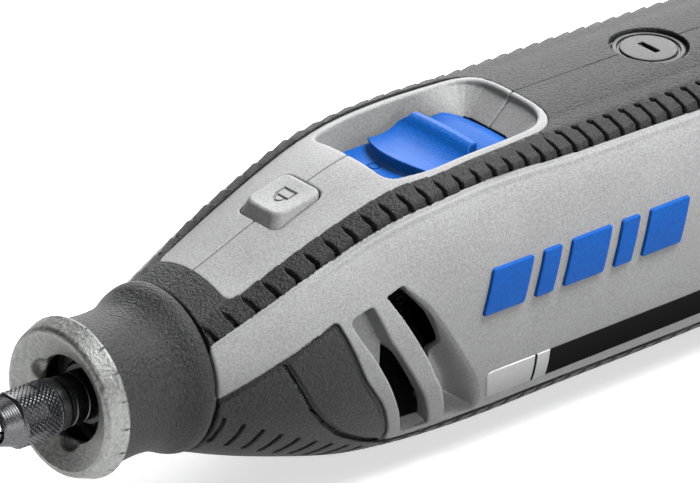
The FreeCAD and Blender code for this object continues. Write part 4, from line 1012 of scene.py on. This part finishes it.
def moulded(name, color, speckle, rough, grain=0.32, depth=0.05, **sockets):
    """Spark-eroded moulded plastic: fine bright and dark specks, and a slow change of tone."""
    shader = Shader(name, color, rough, **sockets)
    fine = shader.noise(grain, 2.0, 0.7)
    slow = shader.noise(14.0, 2.0)
    mixed = shader.maths("ADD", shader.maths("MULTIPLY", fine, 0.8), shader.maths("MULTIPLY", slow, 0.2))
    shader.speckle(shader.spread(mixed, 0.0, 1.0, 0.36, 0.64), color, speckle)
    shader.drive("Roughness", shader.spread(fine, rough - 0.06, rough + 0.1))
    shader.bump(shader.noise(grain * 1.3, 4.0, 0.65), depth)
    return name, shader.material


def leather(name, color, speckle, rough, grain, depth):
    """Soft rubber with a fine pebbled grain, paler on the tops of the pebbles."""
    shader = Shader(name, color, rough, Specular_IOR_Level=0.18)
    pebble = shader.cells(grain)
    wrinkle = shader.noise(grain * 1.6, 3.0, 0.6)
    relief = shader.maths("ADD", shader.maths("MULTIPLY", pebble, -0.8), wrinkle)
    shader.speckle(shader.spread(relief, 0.0, 1.0, -0.1, 0.5), color, speckle)
    shader.drive("Roughness", shader.spread(wrinkle, rough - 0.08, rough + 0.1))
    shader.bump(relief, depth)
    return name, shader.material


def metal(name, color, speckle, rough, grain=0.4, depth=0.03, stretch=None):
    """Metal with a worn, uneven polish."""
    shader = Shader(name, color, rough, 1.0)
    fine = shader.noise(grain, 4.0, 0.65, stretch)
    shader.speckle(shader.spread(fine, 0.0, 1.0), color, speckle)
    shader.drive("Roughness", shader.spread(fine, rough - 0.08, rough + 0.12))
    shader.bump(fine, depth)
    return name, shader.material


# Stations on the band: the silver's end, the thin line's end, and the second silver's end.
# The three borders lean, and the lean takes BAND_LEAN_AT off them at the band's middle height.
SILVER_END, LINE_END, SECOND_END = 104.2, 104.8, 107.8
BAND_LEAN = 0.12
BAND_LEAN_AT = 1.4


def printed_band(name):
    """A matt black film whose front end is printed silver, with one thin black line across it."""
    shader = Shader(name, (0.02, 0.02, 0.02), 0.5, Specular_IOR_Level=0.0)
    place = add_node(shader.tree, "SeparateXYZ", {"Vector": shader.place})
    leaned = shader.maths("ADD", place["X"], shader.maths("MULTIPLY", place["Z"], BAND_LEAN))
    first = shader.maths("LESS_THAN", leaned, (SILVER_END - BAND_LEAN_AT) * MM)
    second = shader.maths("MULTIPLY", shader.maths("GREATER_THAN", leaned, (LINE_END - BAND_LEAN_AT) * MM),
                          shader.maths("LESS_THAN", leaned, (SECOND_END - BAND_LEAN_AT) * MM))
    grain = shader.spread(shader.noise(0.4), 0.92, 1.0)
    silver = shader.maths("MULTIPLY", shader.maths("ADD", first, second), grain)
    shader.tint(silver, (0.026, 0.026, 0.027), (0.95, 0.95, 0.95))
    return name, shader.material


# Each paint: colour, how far specks leave it, roughness, grain size and depth in millimetres.
PAINTS = dict([
    moulded("grey_nylon", (0.34, 0.34, 0.344), 0.22, 0.5, 0.36, 0.06),
    leather("grip_rubber", (0.044, 0.044, 0.045), 0.4, 0.5, 0.4, 0.16),
    moulded("black_plastic", (0.02, 0.02, 0.021), 0.3, 0.45),
    moulded("blue_plastic", (0.005, 0.105, 0.46), 0.25, 0.45, 0.35, 0.05, Specular_IOR_Level=0.15),
    metal("steel", (0.60, 0.60, 0.61), 0.1, 0.25, stretch=(0.2, 1, 1)),
    metal("spring_steel", (0.42, 0.42, 0.43), 0.12, 0.3),
    metal("blackened_steel", (0.10, 0.10, 0.104), 0.4, 0.33),
    metal("lamination", (0.30, 0.30, 0.31), 0.2, 0.5, 0.7, stretch=(6, 0.3, 0.3)),
    metal("copper_wire", (0.60, 0.26, 0.12), 0.2, 0.35, 0.6),
    metal("brass", (0.68, 0.50, 0.20), 0.12, 0.3),
    moulded("carbon", (0.03, 0.03, 0.032), 0.3, 0.7),
    metal("cast_zinc", (0.24, 0.244, 0.237), 0.4, 0.5, 0.7, 0.14),
    moulded("insert_nylon", (0.30, 0.30, 0.29), 0.12, 0.45),
    moulded("circuit_board", (0.02, 0.16, 0.07), 0.2, 0.4),
    printed_band("band_film"),
])
SLOT_OF = {item["node"]: item["material_slot"] for item in frame["record"]["subparts"]}


# ---- camera, floor and light

VIEW_BACK = Vector((-0.6119, -0.6493, 0.4517)).normalized()
VIEW_ROLL = math.radians(2.85)
VIEW_DISTANCE = 1.45
VIEW_AIM = Vector((0.081, 0.0, 0.0105))
VIEW_LENS = 429.4
level_right = Vector((0, 0, 1)).cross(VIEW_BACK).normalized()
level_up = VIEW_BACK.cross(level_right)
view_right = math.cos(VIEW_ROLL) * level_right + math.sin(VIEW_ROLL) * level_up
view_up = math.cos(VIEW_ROLL) * level_up - math.sin(VIEW_ROLL) * level_right
camera = add_object("camera", bpy.data.cameras.new("camera"))
camera.matrix_world = (Matrix.Translation(VIEW_AIM + VIEW_DISTANCE * VIEW_BACK)
                       @ Matrix((view_right, view_up, VIEW_BACK)).transposed().to_4x4())
camera.data.lens = VIEW_LENS
camera.data.sensor_width = 36.0
camera.data.clip_start = 0.05
camera.data.clip_end = 30.0
bpy.context.scene.camera = camera


FLOOR_GAP = 0.0006
FLOOR_HALF = 6.0
FLOOR_GLOW = 0.6
LAMP_AIM = (0.09, 0, 0)
LAMPS = [
    # name, position, size, power
    ("key", (0.45, -0.30, 1.0), 0.6, 19.0),
    ("side", (0.1, -1.2, 0.2), 0.5, 5.5),
    ("sheen", (0.84, 0.80, 0.56), 0.8, 13.0),
]


def area_light(name, position, size, power):
    """A square lamp that shines at the tool's front half."""
    data = bpy.data.lights.new(name, "AREA")
    data.size = size
    data.energy = power
    lamp = add_object(name, data)
    lamp.location = position
    lamp.rotation_euler = (Vector(LAMP_AIM) - Vector(position)).to_track_quat("-Z", "Y").to_euler()


def make_stage():
    """A wide pale floor just under the tool, a sky that brightens upwards, and soft lamps."""
    floor_z = cad_box[0][2] - FLOOR_GAP
    mesh = bpy.data.meshes.new("floor")
    square = [(-1, -1), (1, -1), (1, 1), (-1, 1)]
    mesh.from_pydata([(FLOOR_HALF * u, FLOOR_HALF * v, floor_z) for u, v in square], [], [(0, 1, 2, 3)])
    floor = add_object("floor", mesh)
    paint = Shader("pale_floor", (0.9, 0.9, 0.9), 0.9)
    paint.tint(paint.noise(60.0), (0.93, 0.93, 0.93), (0.95, 0.95, 0.95))
    paint.surface["Emission Color"].default_value = (1, 1, 1, 1)
    paint.surface["Emission Strength"].default_value = FLOOR_GLOW
    mesh.materials.append(paint.material)
    floor.visible_diffuse = False
    world = bpy.data.worlds.new("studio")
    world.use_nodes = True
    tree = world.node_tree
    place = add_node(tree, "SeparateXYZ", {"Vector": add_node(tree, "TexCoord")["Generated"]})
    height = add_node(tree, "MapRange", {"Value": place["Z"], "From Min": -0.5, "From Max": 0.9,
                                         "To Min": 0.10, "To Max": 2.2})
    tree.links.new(height["Result"], tree.nodes["Background"].inputs["Strength"])
    bpy.context.scene.world = world
    for lamp in LAMPS:
        area_light(*lamp)
    bpy.context.scene.view_settings.view_transform = "Standard"


make_stage()

# ---- the pieces

for name, node in NODES.items():
    node.data.materials.clear()
    node.data.materials.append(PAINTS[SLOT_OF.get(name, "grey_nylon")])

PIECES = [
    # name, distance field, CAD node, pitch of the mesh, body, paint
    ("nose_sleeve", nose_cap, "nose_cap", 0.28, "nose_cap", "grip_rubber"),
    ("nose_ring", wrench_ring, "wrench_ring", 0.17, "nose_cap", "cast_zinc"),
    ("knurled_nut", collet_nut, "collet_nut", 0.085, "collet_nut", "blackened_steel"),
    ("thumb_switch", switch_slider, "switch_slider", 0.17, "power_switch", "blue_plastic"),
    ("spindle_lock_key", lock_button, "lock_button", 0.13, "lock_button", "grey_nylon"),
    ("brush_plug_upper", brush_cap(1), "brush_cap_upper", 0.16, "brush_cap_upper", "black_plastic"),
    ("brush_plug_lower", brush_cap(-1), "brush_cap_lower", 0.16, "brush_cap_lower", "black_plastic"),
    ("speed_wheel", speed_dial, "speed_dial", 0.17, "speed_dial", "black_plastic"),
    ("tail_cover", rear_cap, "rear_cap", 0.3, "housing", "black_plastic"),
    ("inlet_collar", cord_gland, "cord_gland", 0.15, "housing", "black_plastic"),
]
for side, word in ((-1, "left"), (1, "right")):
    PIECES += [
        ("shell_" + word, housing(side), "housing_" + word, 0.38, "housing", "grey_nylon"),
        ("ribbed_grip_" + word, upper_grip(side), "upper_grip_" + word, 0.25, "housing", "grip_rubber"),
        ("belly_grip_" + word, lower_grip(side), "lower_grip_" + word, 0.3, "housing", "grip_rubber"),
        ("side_bars_" + word, side_badge(side), "side_badge_" + word, 0.16, "housing", "blue_plastic"),
        ("side_stripe_" + word, side_band(side), "side_band_" + word, 0.2, "housing", "band_film"),
    ]
MARGIN = 0.6  # how far around a node's box its piece is looked for


def finish_piece(piece, body, paint, node):
    """Paint a piece, tie it to its body, and let it stand for its CAD node."""
    piece.data.materials.append(PAINTS[paint])
    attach(piece, body)
    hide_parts(node)


for name, field, node, pitch, body, paint in PIECES:
    low, high = node_box(node)
    piece = carve(name, field, low - MARGIN, high + MARGIN, pitch)
    finish_piece(piece, body, paint, node)
    if name == "thumb_switch":
        piece.visible_diffuse = False  # no blue light on the pocket's walls


def coil_spring(name, node, turns, wire, sides=10, steps=36):
    """An open coil that stands upright and fills the node's box."""
    upright = np.array([0, 0, 1.0])
    low, high = node_box(node)
    middle = (low + high) / 2
    reach = (high[0] - low[0]) / 2 - wire
    rise = (high[2] - low[2] - 2 * wire) / turns
    count = turns * steps
    points = []
    for step in range(count + 1):
        turn = 2 * math.pi * step / steps
        out = np.array([math.cos(turn), math.sin(turn), 0.0])
        centre = middle + reach * out
        centre[2] = low[2] + wire + rise * step / steps
        for side in range(sides):
            tip = 2 * math.pi * side / sides
            points.append((centre + wire * (math.cos(tip) * out + math.sin(tip) * upright)) * MM)
    faces = [(step * sides + side, step * sides + (side + 1) % sides,
              (step + 1) * sides + (side + 1) % sides, (step + 1) * sides + side)
             for step in range(count) for side in range(sides)]
    faces.append(tuple(reversed(range(sides))))
    faces.append(tuple(range(count * sides, (count + 1) * sides)))
    mesh = bpy.data.meshes.new(name)
    mesh.from_pydata([tuple(p) for p in points], [], faces)
    mesh.update()
    return add_object(name, mesh), low, high


# The shaft lock's spring stands on the housing, with a mesh of its own.
COIL_TURNS = 5
COIL_WIRE_R = 0.3
coil, coil_low, coil_high = coil_spring("lock_return_coil", "lock_spring", COIL_TURNS, COIL_WIRE_R)
finish_piece(coil, "housing", "spring_steel", "lock_spring")
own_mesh(coil)
